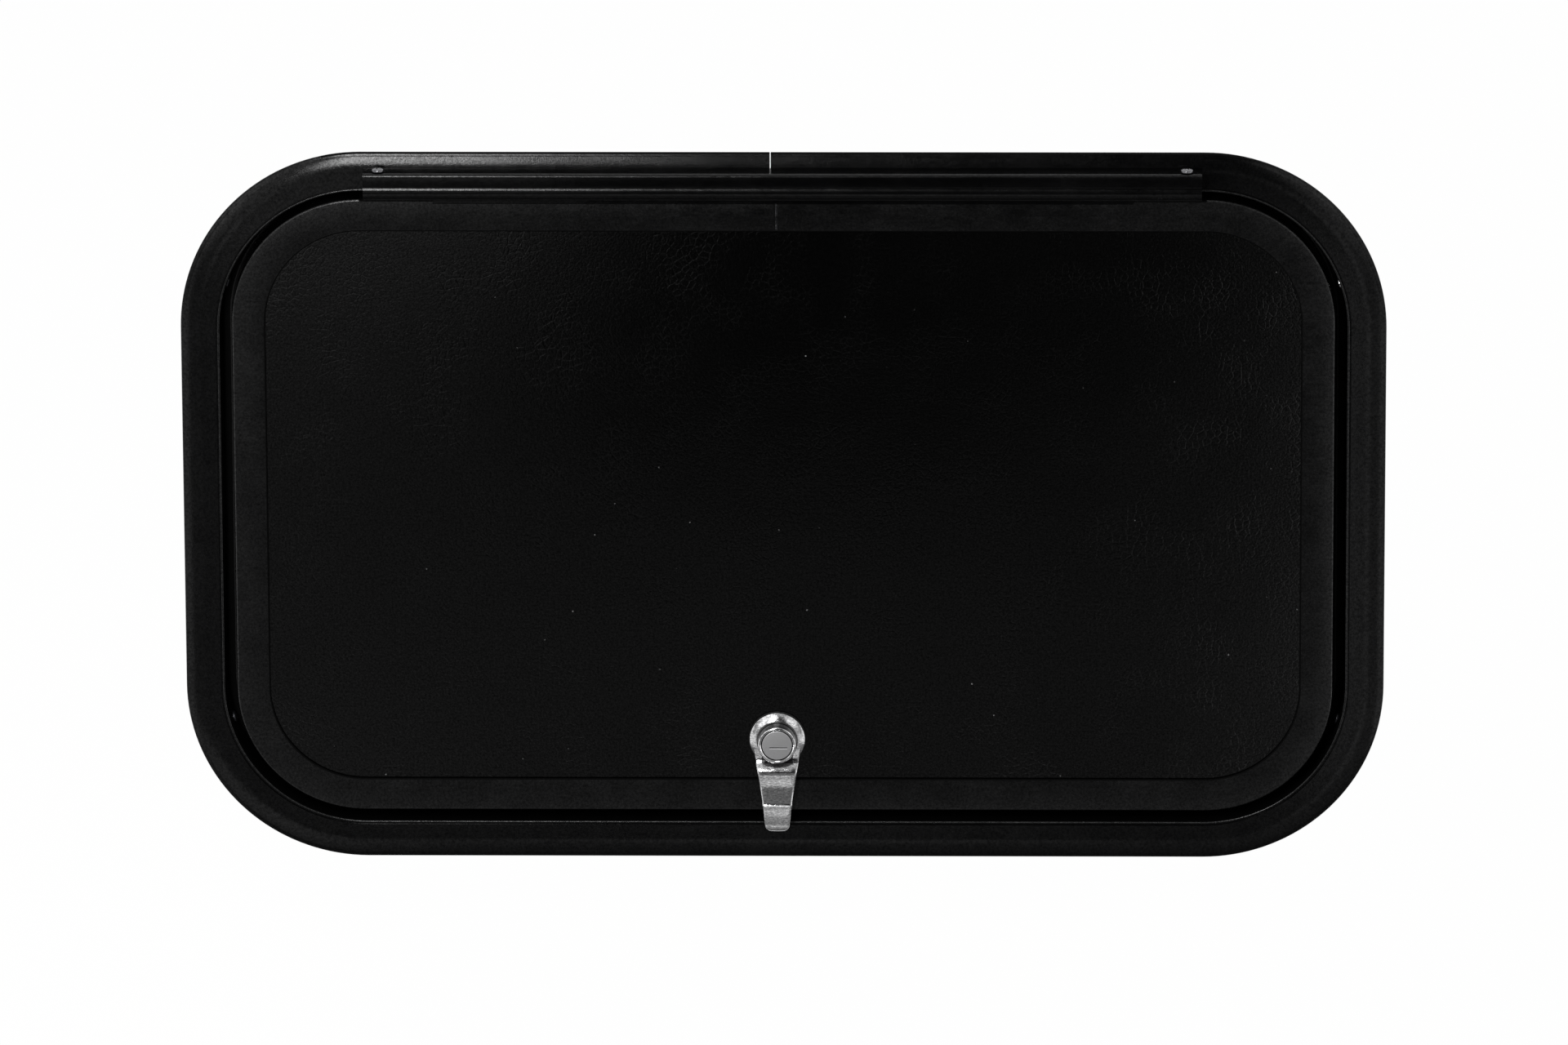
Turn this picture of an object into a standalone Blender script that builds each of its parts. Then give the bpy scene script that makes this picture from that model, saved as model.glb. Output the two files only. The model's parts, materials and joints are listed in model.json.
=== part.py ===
"""Top-hung compartment hatch: bent aluminium frame, sandwich lid, interlocking hinge, locking lever latch.

Metres, +Z up. The hatch stands upright, its face towards -Y and its hinge along the top.
The origin is the middle of the cut-out, on the plane y = 0 where the frame's flange seats on the wall.
"""

import math

import bmesh
import bpy
from mathutils import Matrix, Vector

# Frame, a bent extrusion: a crowned flange outside, a leg through the wall, a lip behind the lid
FRAME_WIDTH = 0.730
FRAME_HEIGHT = 0.447
FRAME_CORNER = 0.110
FLANGE_WIDTH = 0.0221
FLANGE_HEIGHT = 0.0045
FLANGE_EDGE = 0.0016
FLANGE_EDGE_ROUND = 0.0010
FLANGE_CREASE = 0.0135
BEAD_WIDTH = 0.0015
GROOVE_WIDTH = 0.0009
GROOVE_DEPTH = 0.0010
LEG_WALL = 0.0020
LEG_DEPTH = 0.0300
LIP_REACH = 0.0150
LIP_WALL = 0.0020
FRAME_SEAM_X = -0.0074
FRAME_SEAM_GAP = 0.0004

# Lid, a sandwich panel held in a bent channel
GAP_SIDE = 0.0075
GAP_TOP = 0.0050
GAP_BOTTOM = 0.0070
LID_CORNER = 0.0780
LID_FACE_Y = -0.0045
LID_DEPTH = 0.0240
TRIM_FACE = 0.0203
TRIM_REAR = 0.0140
TRIM_WALL = 0.0017
TRIM_EDGE_ROUND = 0.0014
TRIM_SEAM_X = -0.0039
TRIM_SEAM_GAP = 0.0004
SKIN_WALL = 0.0012
JOINER_LENGTH = 0.0600
JOINER_WALL = 0.0015

# Bulb seal on the frame's lip
SEAL_WIDTH = 0.0090
SEAL_BASE = 0.0016
SEAL_BULB = 0.0076

# Hinge: the lid's round bead turns in the socket of the fixed bar
HINGE_END_INSET = 0.1122
HINGE_OUT = 0.0120
HINGE_DROP = 0.0205
HINGE_BEAD = 0.0057
HINGE_BORE = 0.0036
SOCKET_WALL = 0.0014
LEDGE_DROP = 0.0088
LEDGE_ROUND = 0.0020
CHAMBER_WALL = 0.0018
SOCKET_FRONT_LIP = 150.0
SOCKET_BACK_LIP = -48.0
WEB_ANGLE = 297.0
WEB_WALL = 0.0016
FOOT_WALL = 0.0015
FOOT_DEPTH = 0.0190
FOOT_LIP = 0.0028
FOOT_LIP_END = 0.0415
FOOT_RIVETS = 6
FOOT_RIVET_END = 0.0235
FOOT_RIVET_BACK = 0.0140

# Lever latch through the lid
LATCH_X = -0.0046
LATCH_RISE = 0.0458
HEAD_RADIUS = 0.0168
HEAD_RIM = 0.0012
HEAD_EDGE = 0.0004
SKIRT_RISE = 0.0036
HUB_RADIUS = 0.0116
HUB_FRONT = 0.0137
HUB_EDGE = 0.0006
HUB_COVE = 0.0010
LEVER_LENGTH = 0.0565
LEVER_CREASE = 0.0400
LEVER_CREASE_FALL = 0.0020
LEVER_TIP_ROUND = 0.0030
LEVER_BEVEL = 0.0016
GASKET_WALL = 0.0012
GASKET_RADIUS = 0.0174
BUSHING_RADIUS = 0.0095
BUSHING_FLANGE = 0.0125
BUSHING_FLANGE_WALL = 0.0015
SPINDLE_RADIUS = 0.0050
SPINDLE_SQUARE = 0.0070
STUD_RADIUS = 0.0030
NUT_WIDTH = 0.0270
NUT_WALL = 0.0050
WASHER_WALL = 0.0012
WASHER_RADIUS = 0.0155
CAM_WALL = 0.0030
CAM_WIDTH = 0.0160
CAM_TIP_WIDTH = 0.0112
CAM_REACH = 0.0430
CAM_NUT_WIDTH = 0.0100
CAM_NUT_WALL = 0.0040
CAM_WASHER_RADIUS = 0.0062
LOCK_FACE_RADIUS = 0.0092
LOCK_FACE_WALL = 0.0020
LOCK_BODY_RADIUS = 0.0065
LOCK_BODY_LENGTH = 0.0030
LOCK_FLOOR_WALL = 0.0014
LOCK_SUNK = 0.0004
LOCK_GAP = 0.0006
KEYWAY_LENGTH = 0.0109
KEYWAY_WIDTH = 0.0012
KEYWAY_DEPTH = 0.0014
KEYWAY_ASIDE = 0.0009
KEYWAY_DROP = 0.0017

# Fasteners
TOE_SCREW_INSET = 0.0090
TOE_SCREW_BACK = -0.0022
TOE_SCREW_HEAD = 0.00385
TOE_SCREW_CROWN = 0.0024
TOE_SCREW_SHANK = 0.0019
TOE_SCREW_LENGTH = 0.0052
LEG_SCREW_HEAD = 0.0035
LEG_SCREW_CROWN = 0.0021
LEG_SCREW_SHANK = 0.0019
LEG_SCREW_LENGTH = 0.0120
LEG_SCREW_DEPTH = 0.0120
RIVET_HEAD = 0.0032
RIVET_CROWN = 0.0011
RIVET_SHANK = 0.0016

# Fit between pieces that touch, and round a shank in its hole
FIT = 0.0003

# Facets of a quarter turn on the bends, and of a full turn on round pieces
BEND_STEPS = 8
HEAD_STEPS = 40
ROUND_STEPS = 28
SMALL_STEPS = 14
CROWN_STEPS = 3

# Planes and places that follow from the sizes above
LEG_INSET = FLANGE_WIDTH + BEAD_WIDTH
LID_WIDTH = FRAME_WIDTH - 2 * (LEG_INSET + GAP_SIDE)
LID_TOP = FRAME_HEIGHT / 2 - LEG_INSET - GAP_TOP
LID_BOTTOM = -FRAME_HEIGHT / 2 + LEG_INSET + GAP_BOTTOM
LID_HEIGHT = LID_TOP - LID_BOTTOM
LID_MIDDLE = (LID_TOP + LID_BOTTOM) / 2
LID_BACK_Y = LID_FACE_Y + LID_DEPTH
SKIN_INSET = TRIM_WALL + FIT
PANEL_FACE_Y = LID_FACE_Y + TRIM_WALL + FIT
PANEL_BACK_Y = LID_BACK_Y - TRIM_WALL - FIT
LIP_FACE_Y = LEG_DEPTH - LIP_WALL
HINGE_LENGTH = FRAME_WIDTH - 2 * HINGE_END_INSET
HINGE_AXIS = Vector((0, -HINGE_OUT, FRAME_HEIGHT / 2 - HINGE_DROP))
LATCH_AXIS = Vector((LATCH_X, 0, LID_BOTTOM + LATCH_RISE))
GASKET_BACK_Y = PANEL_FACE_Y - FIT
GASKET_FRONT_Y = GASKET_BACK_Y - GASKET_WALL
HEAD_BASE_Y = GASKET_FRONT_Y - FIT
HUB_FRONT_Y = HEAD_BASE_Y - HUB_FRONT
CAM_FRONT_Y = LEG_DEPTH + 2 * FIT
BORE = BUSHING_RADIUS + FIT

for item in list(bpy.data.objects):
    bpy.data.objects.remove(item)


def finish(name, colour, roughness, metallic):
    """A Principled material of one colour."""
    material = bpy.data.materials.new(name)
    material.use_nodes = True
    shader = material.node_tree.nodes["Principled BSDF"]
    shader.inputs["Base Color"].default_value = (*colour, 1)
    shader.inputs["Roughness"].default_value = roughness
    shader.inputs["Metallic"].default_value = metallic
    return material


BLACK_COAT = finish("black_coat", (0.012, 0.012, 0.013), 0.42, 0.0)
BLACK_SKIN = finish("black_skin", (0.006, 0.006, 0.007), 0.16, 0.0)
FOAM = finish("foam", (0.62, 0.60, 0.52), 0.9, 0.0)
RUBBER = finish("rubber", (0.010, 0.010, 0.010), 0.7, 0.0)
CHROME = finish("chrome", (0.78, 0.78, 0.80), 0.08, 1.0)
STEEL = finish("steel", (0.56, 0.56, 0.57), 0.28, 1.0)
MILL_ALUMINIUM = finish("mill_aluminium", (0.66, 0.67, 0.68), 0.38, 1.0)
BLACK_ZINC = finish("black_zinc", (0.05, 0.05, 0.055), 0.4, 0.9)


def pivot(name, place):
    """An empty on a joint's axis, which carries what turns about it."""
    empty = bpy.data.objects.new(name, None)
    empty.location = place
    bpy.context.scene.collection.objects.link(empty)
    return empty


LID = pivot("lid_pivot", HINGE_AXIS)
HANDLE = pivot("handle_pivot", LATCH_AXIS)
HANDLE.parent = LID
HANDLE.matrix_parent_inverse = Matrix.Translation(-HINGE_AXIS)
LOCK = pivot("lock_pivot", LATCH_AXIS + Vector((0, HUB_FRONT_Y, 0)))
LOCK.parent = HANDLE
LOCK.matrix_parent_inverse = Matrix.Translation(-LATCH_AXIS)
PIVOT_PLACES = {LID: HINGE_AXIS, HANDLE: LATCH_AXIS, LOCK: LATCH_AXIS + Vector((0, HUB_FRONT_Y, 0))}


def add(name, shape, material, carrier=None, place=(0, 0, 0), turn=(0, 0, 0), crease=32.0):
    """An object from a finished bmesh, put in its place and carried by a pivot."""
    bmesh.ops.recalc_face_normals(shape, faces=shape.faces)
    mesh = bpy.data.meshes.new(name)
    shape.to_mesh(mesh)
    shape.free()
    mesh.shade_smooth()
    mesh.set_sharp_from_angle(angle=math.radians(crease))
    mesh.materials.append(material)
    piece = bpy.data.objects.new(name, mesh)
    piece.location = place
    piece.rotation_euler = turn
    bpy.context.scene.collection.objects.link(piece)
    if carrier:
        piece.parent = carrier
        piece.matrix_parent_inverse = Matrix.Translation(-PIVOT_PLACES[carrier])
    return piece


def cut(piece, name, shape, place=(0, 0, 0), turn=(0, 0, 0)):
    """Takes a cutter's shape out of a piece, or out of each piece of a list."""
    cutter = add(name, shape, BLACK_ZINC, None, place, turn)
    cutter.hide_render = True
    cutter.display_type = "WIRE"
    for target in piece if isinstance(piece, list) else [piece]:
        target.modifiers.new(name, "BOOLEAN").object = cutter


def arc(across, up, radius, start, end, steps):
    """Points of an arc about (across, up), angles in degrees."""
    turns = [math.radians(start + (end - start) * step / steps) for step in range(steps + 1)]
    return [(across + radius * math.cos(turn), up + radius * math.sin(turn)) for turn in turns]


def wire(shape, points):
    """A closed loop of edges through points."""
    corners = [shape.verts.new(point) for point in points]
    return [shape.edges.new((corners[index - 1], corner)) for index, corner in enumerate(corners)]


def ends_of(edges):
    return list({end for edge in edges for end in edge.verts})


def run_on(shape, edges, way):
    """Extrudes a loop along a straight and gives the loop at its far end."""
    grown = bmesh.ops.extrude_edge_only(shape, edges=edges)["geom"]
    far = {item for item in grown if isinstance(item, bmesh.types.BMVert)}
    bmesh.ops.translate(shape, verts=list(far), vec=way)
    return [item for item in grown if isinstance(item, bmesh.types.BMEdge) and set(item.verts) <= far]


def bend(shape, edges, centre):
    """Turns a loop a quarter turn about an axis along Y and gives the loop at its far end."""
    geometry = edges + ends_of(edges)
    turned_loop = bmesh.ops.spin(
        shape, geom=geometry, cent=centre, axis=(0, 1, 0), angle=math.pi / 2, steps=BEND_STEPS
    )["geom_last"]
    return [item for item in turned_loop if isinstance(item, bmesh.types.BMEdge)]


def bent_bar(outline, width, height, radius, middle=0.0, seam_x=0.0, seam_gap=None):
    """An extrusion bent round a rectangle; outline points are (inset from the outer edge, y)."""
    shape = bmesh.new()
    half_gap = (seam_gap or 0.0) / 2
    side = width / 2 - radius
    rise = height / 2 - radius
    first = wire(shape, [(seam_x + half_gap, y, middle + height / 2 - inset) for inset, y in outline])
    loop = run_on(shape, first, (side - seam_x - half_gap, 0, 0))
    loop = bend(shape, loop, (side, 0, middle + rise))
    loop = run_on(shape, loop, (0, 0, -2 * rise))
    loop = bend(shape, loop, (side, 0, middle - rise))
    loop = run_on(shape, loop, (-2 * side, 0, 0))
    loop = bend(shape, loop, (-side, 0, middle - rise))
    loop = run_on(shape, loop, (0, 0, 2 * rise))
    loop = bend(shape, loop, (-side, 0, middle + rise))
    loop = run_on(shape, loop, (side + seam_x - half_gap, 0, 0))
    if seam_gap:
        bmesh.ops.edgeloop_fill(shape, edges=first)
        bmesh.ops.edgeloop_fill(shape, edges=loop)
    else:
        bmesh.ops.remove_doubles(shape, verts=shape.verts, dist=1e-6)
    return shape


def long_bar(outline, length):
    """An extrusion along X about its middle; outline points are (y, z)."""
    shape = bmesh.new()
    first = wire(shape, [(-length / 2, y, z) for y, z in outline])
    last = run_on(shape, first, (length, 0, 0))
    bmesh.ops.edgeloop_fill(shape, edges=first)
    bmesh.ops.edgeloop_fill(shape, edges=last)
    return shape


def plate(outline, front, back):
    """A flat plate between two planes of y; outline points are (x, z)."""
    shape = bmesh.new()
    first = wire(shape, [(x, front, z) for x, z in outline])
    last = run_on(shape, first, (0, back - front, 0))
    bmesh.ops.edgeloop_fill(shape, edges=first)
    bmesh.ops.edgeloop_fill(shape, edges=last)
    return shape


def rounded_rectangle(width, height, radius, middle=0.0):
    side = width / 2 - radius
    rise = height / 2 - radius
    centres = [(side, rise, 0), (-side, rise, 90), (-side, -rise, 180), (side, -rise, 270)]
    return [
        point
        for x, z, start in centres
        for point in arc(x, middle + z, radius, start, start + 90, BEND_STEPS)
    ]


def hexagon(width):
    return arc(0, 0, width / math.sqrt(3), 0, 300, 5)


def square(width):
    return arc(0, 0, width / math.sqrt(2), 45, 315, 3)


def turned(profile, steps=ROUND_STEPS):
    """A solid of revolution about Y; profile points are (radius, y), and a closed profile makes a ring."""
    shape = bmesh.new()
    corners = [shape.verts.new((radius, y, 0)) for radius, y in profile]
    edges = [shape.edges.new(pair) for pair in zip(corners, corners[1:])]
    if min(radius for radius, _ in profile) > 0:
        edges.append(shape.edges.new((corners[-1], corners[0])))
    circle = 2 * math.pi
    bmesh.ops.spin(
        shape, geom=corners + edges, cent=(0, 0, 0), axis=(0, 1, 0), angle=circle, steps=steps, use_merge=True
    )
    bmesh.ops.remove_doubles(shape, verts=shape.verts, dist=1e-7)
    return shape


def rod(radius, front, back, steps=ROUND_STEPS):
    return turned([(0, front), (radius, front), (radius, back), (0, back)], steps)


def sleeve(outer, inner, front, back, steps=ROUND_STEPS):
    return turned([(inner, front), (outer, front), (outer, back), (inner, back)], steps)


def headed_pin(head, crown, shank, length, steps=SMALL_STEPS):
    """A screw or rivet: a crowned head in front of y = 0 and a shank behind it."""
    rim = 0.45 * crown
    dome = [(head * across, -rim - (crown - rim) * up) for across, up in arc(0, 0, 1, 90, 0, 3)]
    return turned([(0, -crown), *dome[1:], (head, 0), (shank, 0), (shank, length), (0, length)], steps)


# Frame extrusion: its outline runs from the flange's outer edge round the crown, bead, leg and lip
lip_inset = LEG_INSET + LIP_REACH
leg_outer = LEG_INSET - LEG_WALL
groove_start = FLANGE_WIDTH - GROOVE_WIDTH
crown_rise = FLANGE_HEIGHT - FLANGE_EDGE
crown_shares = [step / CROWN_STEPS for step in range(1, CROWN_STEPS + 1)]
crown = [
    (0.0, 0.0),
    *arc(FLANGE_EDGE_ROUND, FLANGE_EDGE_ROUND - FLANGE_EDGE, FLANGE_EDGE_ROUND, 180, 270, 2),
    *[(share * FLANGE_CREASE, -FLANGE_EDGE - crown_rise * (1 - (1 - share) ** 2)) for share in crown_shares],
]
bead = [
    (groove_start, -FLANGE_HEIGHT),
    (groove_start, -FLANGE_HEIGHT + GROOVE_DEPTH),
    (FLANGE_WIDTH, -FLANGE_HEIGHT + GROOVE_DEPTH),
    *arc(
        FLANGE_WIDTH + BEAD_WIDTH / 2, -FLANGE_HEIGHT + BEAD_WIDTH / 2, BEAD_WIDTH / 2, -180, 0, 4
    ),
]
leg = [
    (LEG_INSET, LIP_FACE_Y - LIP_WALL),
    (LEG_INSET + LIP_WALL, LIP_FACE_Y),
    (lip_inset - LIP_WALL / 2, LIP_FACE_Y),
    (lip_inset, LIP_FACE_Y + LIP_WALL / 4),
    (lip_inset, LEG_DEPTH - LIP_WALL / 4),
    (lip_inset - LIP_WALL / 2, LEG_DEPTH),
    (leg_outer + LEG_WALL / 2, LEG_DEPTH),
    (leg_outer, LEG_DEPTH - LEG_WALL / 2),
    (leg_outer, 0.0),
]
frame = add(
    "frame_extrusion",
    bent_bar(
        crown + bead + leg, FRAME_WIDTH, FRAME_HEIGHT, FRAME_CORNER, 0.0, FRAME_SEAM_X, FRAME_SEAM_GAP
    ),
    BLACK_COAT,
)

# Joiner behind the frame's seam, on the outside of the leg
joiner_z = FRAME_HEIGHT / 2 - leg_outer + FIT
add(
    "frame_joiner",
    long_bar(
        [
            (FIT, joiner_z),
            (LEG_DEPTH - LEG_WALL, joiner_z),
            (LEG_DEPTH - LEG_WALL, joiner_z + JOINER_WALL),
            (FIT + JOINER_WALL, joiner_z + JOINER_WALL),
            (FIT + JOINER_WALL, joiner_z + 4 * JOINER_WALL),
            (FIT, joiner_z + 4 * JOINER_WALL),
        ],
        JOINER_LENGTH,
    ),
    MILL_ALUMINIUM,
    place=(FRAME_SEAM_X, 0, 0),
)

# Bulb seal, a closed ring on the front of the lip
seal_outer = lip_inset - LIP_WALL / 2 - SEAL_WIDTH
seal_back = LIP_FACE_Y - FIT
seal_front = LID_BACK_Y + FIT
bulb_reach = seal_back - SEAL_BASE - seal_front
bulb = [
    (seal_outer + (SEAL_WIDTH + SEAL_BULB * across) / 2, seal_back - SEAL_BASE - bulb_reach * up)
    for across, up in arc(0, 0, 1, 180, 0, 8)
]
add(
    "lid_seal",
    bent_bar(
        [
            (seal_outer, seal_back),
            (seal_outer, seal_back - SEAL_BASE),
            *bulb,
            (seal_outer + SEAL_WIDTH, seal_back - SEAL_BASE),
            (seal_outer + SEAL_WIDTH, seal_back),
        ],
        FRAME_WIDTH,
        FRAME_HEIGHT,
        FRAME_CORNER,
    ),
    RUBBER,
)

# Fixed hinge bar on the flange: a flat ledge on top and a socket round the bead, open below
socket = HINGE_BEAD + FIT
socket_outer = socket + SOCKET_WALL
bar_back = HINGE_OUT - FLANGE_HEIGHT - FIT
ledge = HINGE_DROP - LEDGE_DROP
lip_way = math.radians(SOCKET_FRONT_LIP)
lip_z = socket * math.sin(lip_way)
fixed_outline = [
    (-socket_outer + 0.55 * SOCKET_WALL, lip_z),
    (-socket_outer, lip_z + 0.55 * SOCKET_WALL),
    *arc(-socket_outer + LEDGE_ROUND, ledge - LEDGE_ROUND, LEDGE_ROUND, 180, 90, 4),
    (bar_back, ledge),
    (bar_back, 0.0),
    *arc(0, 0, bar_back, -14, SOCKET_BACK_LIP, 4),
    *arc(0, 0, socket, SOCKET_BACK_LIP, SOCKET_FRONT_LIP, 20),
]
fixed_bar = add(
    "hinge_fixed_bar", long_bar(fixed_outline, HINGE_LENGTH), BLACK_COAT, place=HINGE_AXIS
)
chamber_top = ledge - CHAMBER_WALL
chamber = long_bar(
    [
        *arc(0, 0, socket_outer, 52, 128, 6),
        (-socket_outer + CHAMBER_WALL, chamber_top - LEDGE_ROUND / 2),
        (-socket_outer + CHAMBER_WALL + LEDGE_ROUND / 2, chamber_top),
        (bar_back - CHAMBER_WALL, chamber_top),
    ],
    HINGE_LENGTH + 2 * CHAMBER_WALL,
)
cut(fixed_bar, "hinge_chamber_cutter", chamber, HINGE_AXIS)

# Moving hinge bar: a hollow bead, a web out of the socket, and a foot on the lid's top edge with a front lip
foot_bottom = LID_TOP + FIT - HINGE_AXIS.z
foot_top = foot_bottom + FOOT_WALL
lip_back = LID_FACE_Y - FIT - HINGE_AXIS.y
lip_front = lip_back - FOOT_WALL
foot_back = lip_back + FOOT_DEPTH
web_way = Vector((math.cos(math.radians(WEB_ANGLE)), math.sin(math.radians(WEB_ANGLE))))
web_side = Vector((-web_way.y, web_way.x)) * WEB_WALL / 2
web_reach = foot_top / web_way.y
web_spread = math.degrees(math.asin(WEB_WALL / 2 / HINGE_BEAD))
web_back = web_way * (web_reach - 0.3 * FOOT_WALL) + web_side
web_front = web_way * (web_reach + 0.6 * FOOT_WALL) - web_side
moving_outline = [
    *arc(0, 0, HINGE_BEAD, WEB_ANGLE + web_spread, WEB_ANGLE + 360 - web_spread, 24),
    tuple(web_front),
    (web_front.x + FOOT_WALL / 2, foot_bottom),
    (lip_front, foot_bottom),
    (lip_front, foot_bottom - FOOT_LIP + FOOT_WALL / 3),
    (lip_front + FOOT_WALL / 3, foot_bottom - FOOT_LIP),
    (lip_back, foot_bottom - FOOT_LIP),
    (lip_back, foot_bottom),
    (foot_back, foot_bottom),
    (foot_back, foot_top),
    (web_back.x + FOOT_WALL / 2, foot_top),
]
moving_bar = add(
    "hinge_moving_bar", long_bar(moving_outline, HINGE_LENGTH), BLACK_COAT, LID, HINGE_AXIS
)
bore_cutter = long_bar(arc(0, 0, HINGE_BORE, 0, 330, 11), HINGE_LENGTH + 2 * HINGE_BORE)
cut(moving_bar, "hinge_bore_cutter", bore_cutter, HINGE_AXIS)
notch_outline = [
    (lip_front - FOOT_WALL, foot_bottom),
    (lip_front - FOOT_WALL, foot_bottom - 2 * FOOT_LIP),
    (lip_back + FOOT_WALL, foot_bottom - 2 * FOOT_LIP),
    (lip_back + FOOT_WALL, foot_bottom),
]
for side, hand in (("left", -1), ("right", 1)):
    notch_x = hand * HINGE_LENGTH / 2
    notch = long_bar(notch_outline, 2 * FOOT_LIP_END)
    cut(moving_bar, f"{side}_notch_cutter", notch, HINGE_AXIS + Vector((notch_x, 0, 0)))

# Lid trim: a channel round the panel, its front outer edge rounded
trim_outline = [
    (SKIN_INSET - FIT, LID_FACE_Y + TRIM_WALL),
    (TRIM_FACE - TRIM_WALL / 2, LID_FACE_Y + TRIM_WALL),
    (TRIM_FACE, LID_FACE_Y + TRIM_WALL / 2),
    (TRIM_FACE - TRIM_WALL / 2, LID_FACE_Y),
    *arc(TRIM_EDGE_ROUND, LID_FACE_Y + TRIM_EDGE_ROUND, TRIM_EDGE_ROUND, -90, -180, 5),
    (0.0, LID_BACK_Y - TRIM_WALL / 2),
    (TRIM_WALL / 2, LID_BACK_Y),
    (TRIM_REAR, LID_BACK_Y),
    (TRIM_REAR, LID_BACK_Y - TRIM_WALL),
    (SKIN_INSET - FIT, LID_BACK_Y - TRIM_WALL),
]
trim = add(
    "lid_trim",
    bent_bar(
        trim_outline, LID_WIDTH, LID_HEIGHT, LID_CORNER, LID_MIDDLE, TRIM_SEAM_X, TRIM_SEAM_GAP
    ),
    BLACK_COAT,
    LID,
)

# Sandwich panel: outer skin, foam core and inner skin, bored together for the latch
panel_outline = rounded_rectangle(
    LID_WIDTH - 2 * SKIN_INSET, LID_HEIGHT - 2 * SKIN_INSET, LID_CORNER - SKIN_INSET, LID_MIDDLE
)
layers = [
    ("lid_outer_skin", BLACK_SKIN, PANEL_FACE_Y, PANEL_FACE_Y + SKIN_WALL),
    ("lid_core", FOAM, PANEL_FACE_Y + SKIN_WALL + FIT, PANEL_BACK_Y - SKIN_WALL - FIT),
    ("lid_inner_skin", MILL_ALUMINIUM, PANEL_BACK_Y - SKIN_WALL, PANEL_BACK_Y),
]
panel = [
    add(name, plate(panel_outline, front, back), material, LID) for name, material, front, back in layers
]
latch_hole = rod(BORE, PANEL_FACE_Y - TRIM_WALL, LID_BACK_Y)
cut(panel, "latch_hole_cutter", latch_hole, LATCH_AXIS)

# Rivets of the hinge's foot, in holes through the foot and the trim's top wall
rivet_y = HINGE_AXIS.y + FOOT_RIVET_BACK + lip_back
rivet_z = HINGE_AXIS.z + foot_top + FIT
rivet_length = FOOT_WALL + TRIM_WALL + FIT
rivet_span = HINGE_LENGTH - 2 * FOOT_RIVET_END
rivet_pitch = rivet_span / (FOOT_RIVETS - 1)
for number in range(FOOT_RIVETS):
    rivet_x = rivet_pitch * number - rivet_span / 2
    place = (rivet_x, rivet_y, rivet_z)
    upright = (-math.pi / 2, 0, 0)
    rivet = headed_pin(RIVET_HEAD, RIVET_CROWN, RIVET_SHANK, rivet_length)
    add(f"hinge_rivet_{number + 1}", rivet, BLACK_ZINC, LID, place, upright)
    hole = rod(RIVET_SHANK + FIT, -FOOT_WALL, 3 * rivet_length, SMALL_STEPS)
    cut([moving_bar, trim], f"hinge_rivet_hole_{number + 1}", hole, place, upright)

# Joiner inside the trim's seam, let into the top edge of the core
trim_joiner_top = LID_TOP - TRIM_WALL - FIT
trim_joiner_bottom = trim_joiner_top - JOINER_WALL
core_front = PANEL_FACE_Y + SKIN_WALL + FIT
core_back = PANEL_BACK_Y - SKIN_WALL - FIT


def joiner_outline(clearance):
    """The joiner's section, or with a clearance the pocket round it."""
    return [
        (core_front + JOINER_WALL - clearance, trim_joiner_bottom - clearance),
        (core_back - JOINER_WALL + clearance, trim_joiner_bottom - clearance),
        (core_back - JOINER_WALL + clearance, trim_joiner_top + clearance),
        (core_front + JOINER_WALL - clearance, trim_joiner_top + clearance),
    ]


joiner_place = (TRIM_SEAM_X, 0, 0)
joiner = long_bar(joiner_outline(0.0), JOINER_LENGTH)
add("trim_joiner", joiner, MILL_ALUMINIUM, LID, joiner_place)
pocket = long_bar(joiner_outline(FIT), JOINER_LENGTH + 2 * FIT)
cut(panel[1], "trim_joiner_pocket", pocket, joiner_place)

# Screws that lock the fixed bar, upright on its ledge near both ends
for side, hand in (("left", -1), ("right", 1)):
    place = HINGE_AXIS + Vector(
        (hand * (HINGE_LENGTH / 2 - TOE_SCREW_INSET), TOE_SCREW_BACK, ledge + FIT)
    )
    upright = (-math.pi / 2, 0, 0)
    screw = headed_pin(TOE_SCREW_HEAD, TOE_SCREW_CROWN, TOE_SCREW_SHANK, TOE_SCREW_LENGTH)
    add(f"hinge_screw_{side}", screw, STEEL, None, place, upright)
    hole = rod(TOE_SCREW_SHANK + FIT, -FOOT_WALL, TOE_SCREW_LENGTH + FIT, SMALL_STEPS)
    cut(fixed_bar, f"hinge_screw_hole_{side}", hole, place, upright)

# Screws through the frame's legs into the edge of the wall, each square to the second facet of a bend.
# Only the upper right one is bright.
facet_turn = math.pi / 2 / BEND_STEPS
leg_screw_turn = 1.5 * facet_turn
leg_screw_reach = (FRAME_CORNER - LEG_INSET) * math.cos(facet_turn / 2) - FIT
leg_screw_x = FRAME_WIDTH / 2 - FRAME_CORNER + leg_screw_reach * math.cos(leg_screw_turn)
leg_screw_z = FRAME_HEIGHT / 2 - FRAME_CORNER + leg_screw_reach * math.sin(leg_screw_turn)
for side, hand in (("left", -1), ("right", 1)):
    for level, rise in (("upper", 1), ("lower", -1)):
        place = (hand * leg_screw_x, LEG_SCREW_DEPTH, rise * leg_screw_z)
        outwards = (rise * leg_screw_turn, 0, -hand * math.pi / 2)
        screw = headed_pin(LEG_SCREW_HEAD, LEG_SCREW_CROWN, LEG_SCREW_SHANK, LEG_SCREW_LENGTH)
        material = STEEL if hand + rise == 2 else BLACK_ZINC
        add(f"leg_screw_{level}_{side}", screw, material, None, place, outwards)
        hole = rod(LEG_SCREW_SHANK + FIT, -LEG_WALL, 3 * LEG_WALL, SMALL_STEPS)
        cut(frame, f"leg_screw_hole_{level}_{side}", hole, place, outwards)

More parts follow.
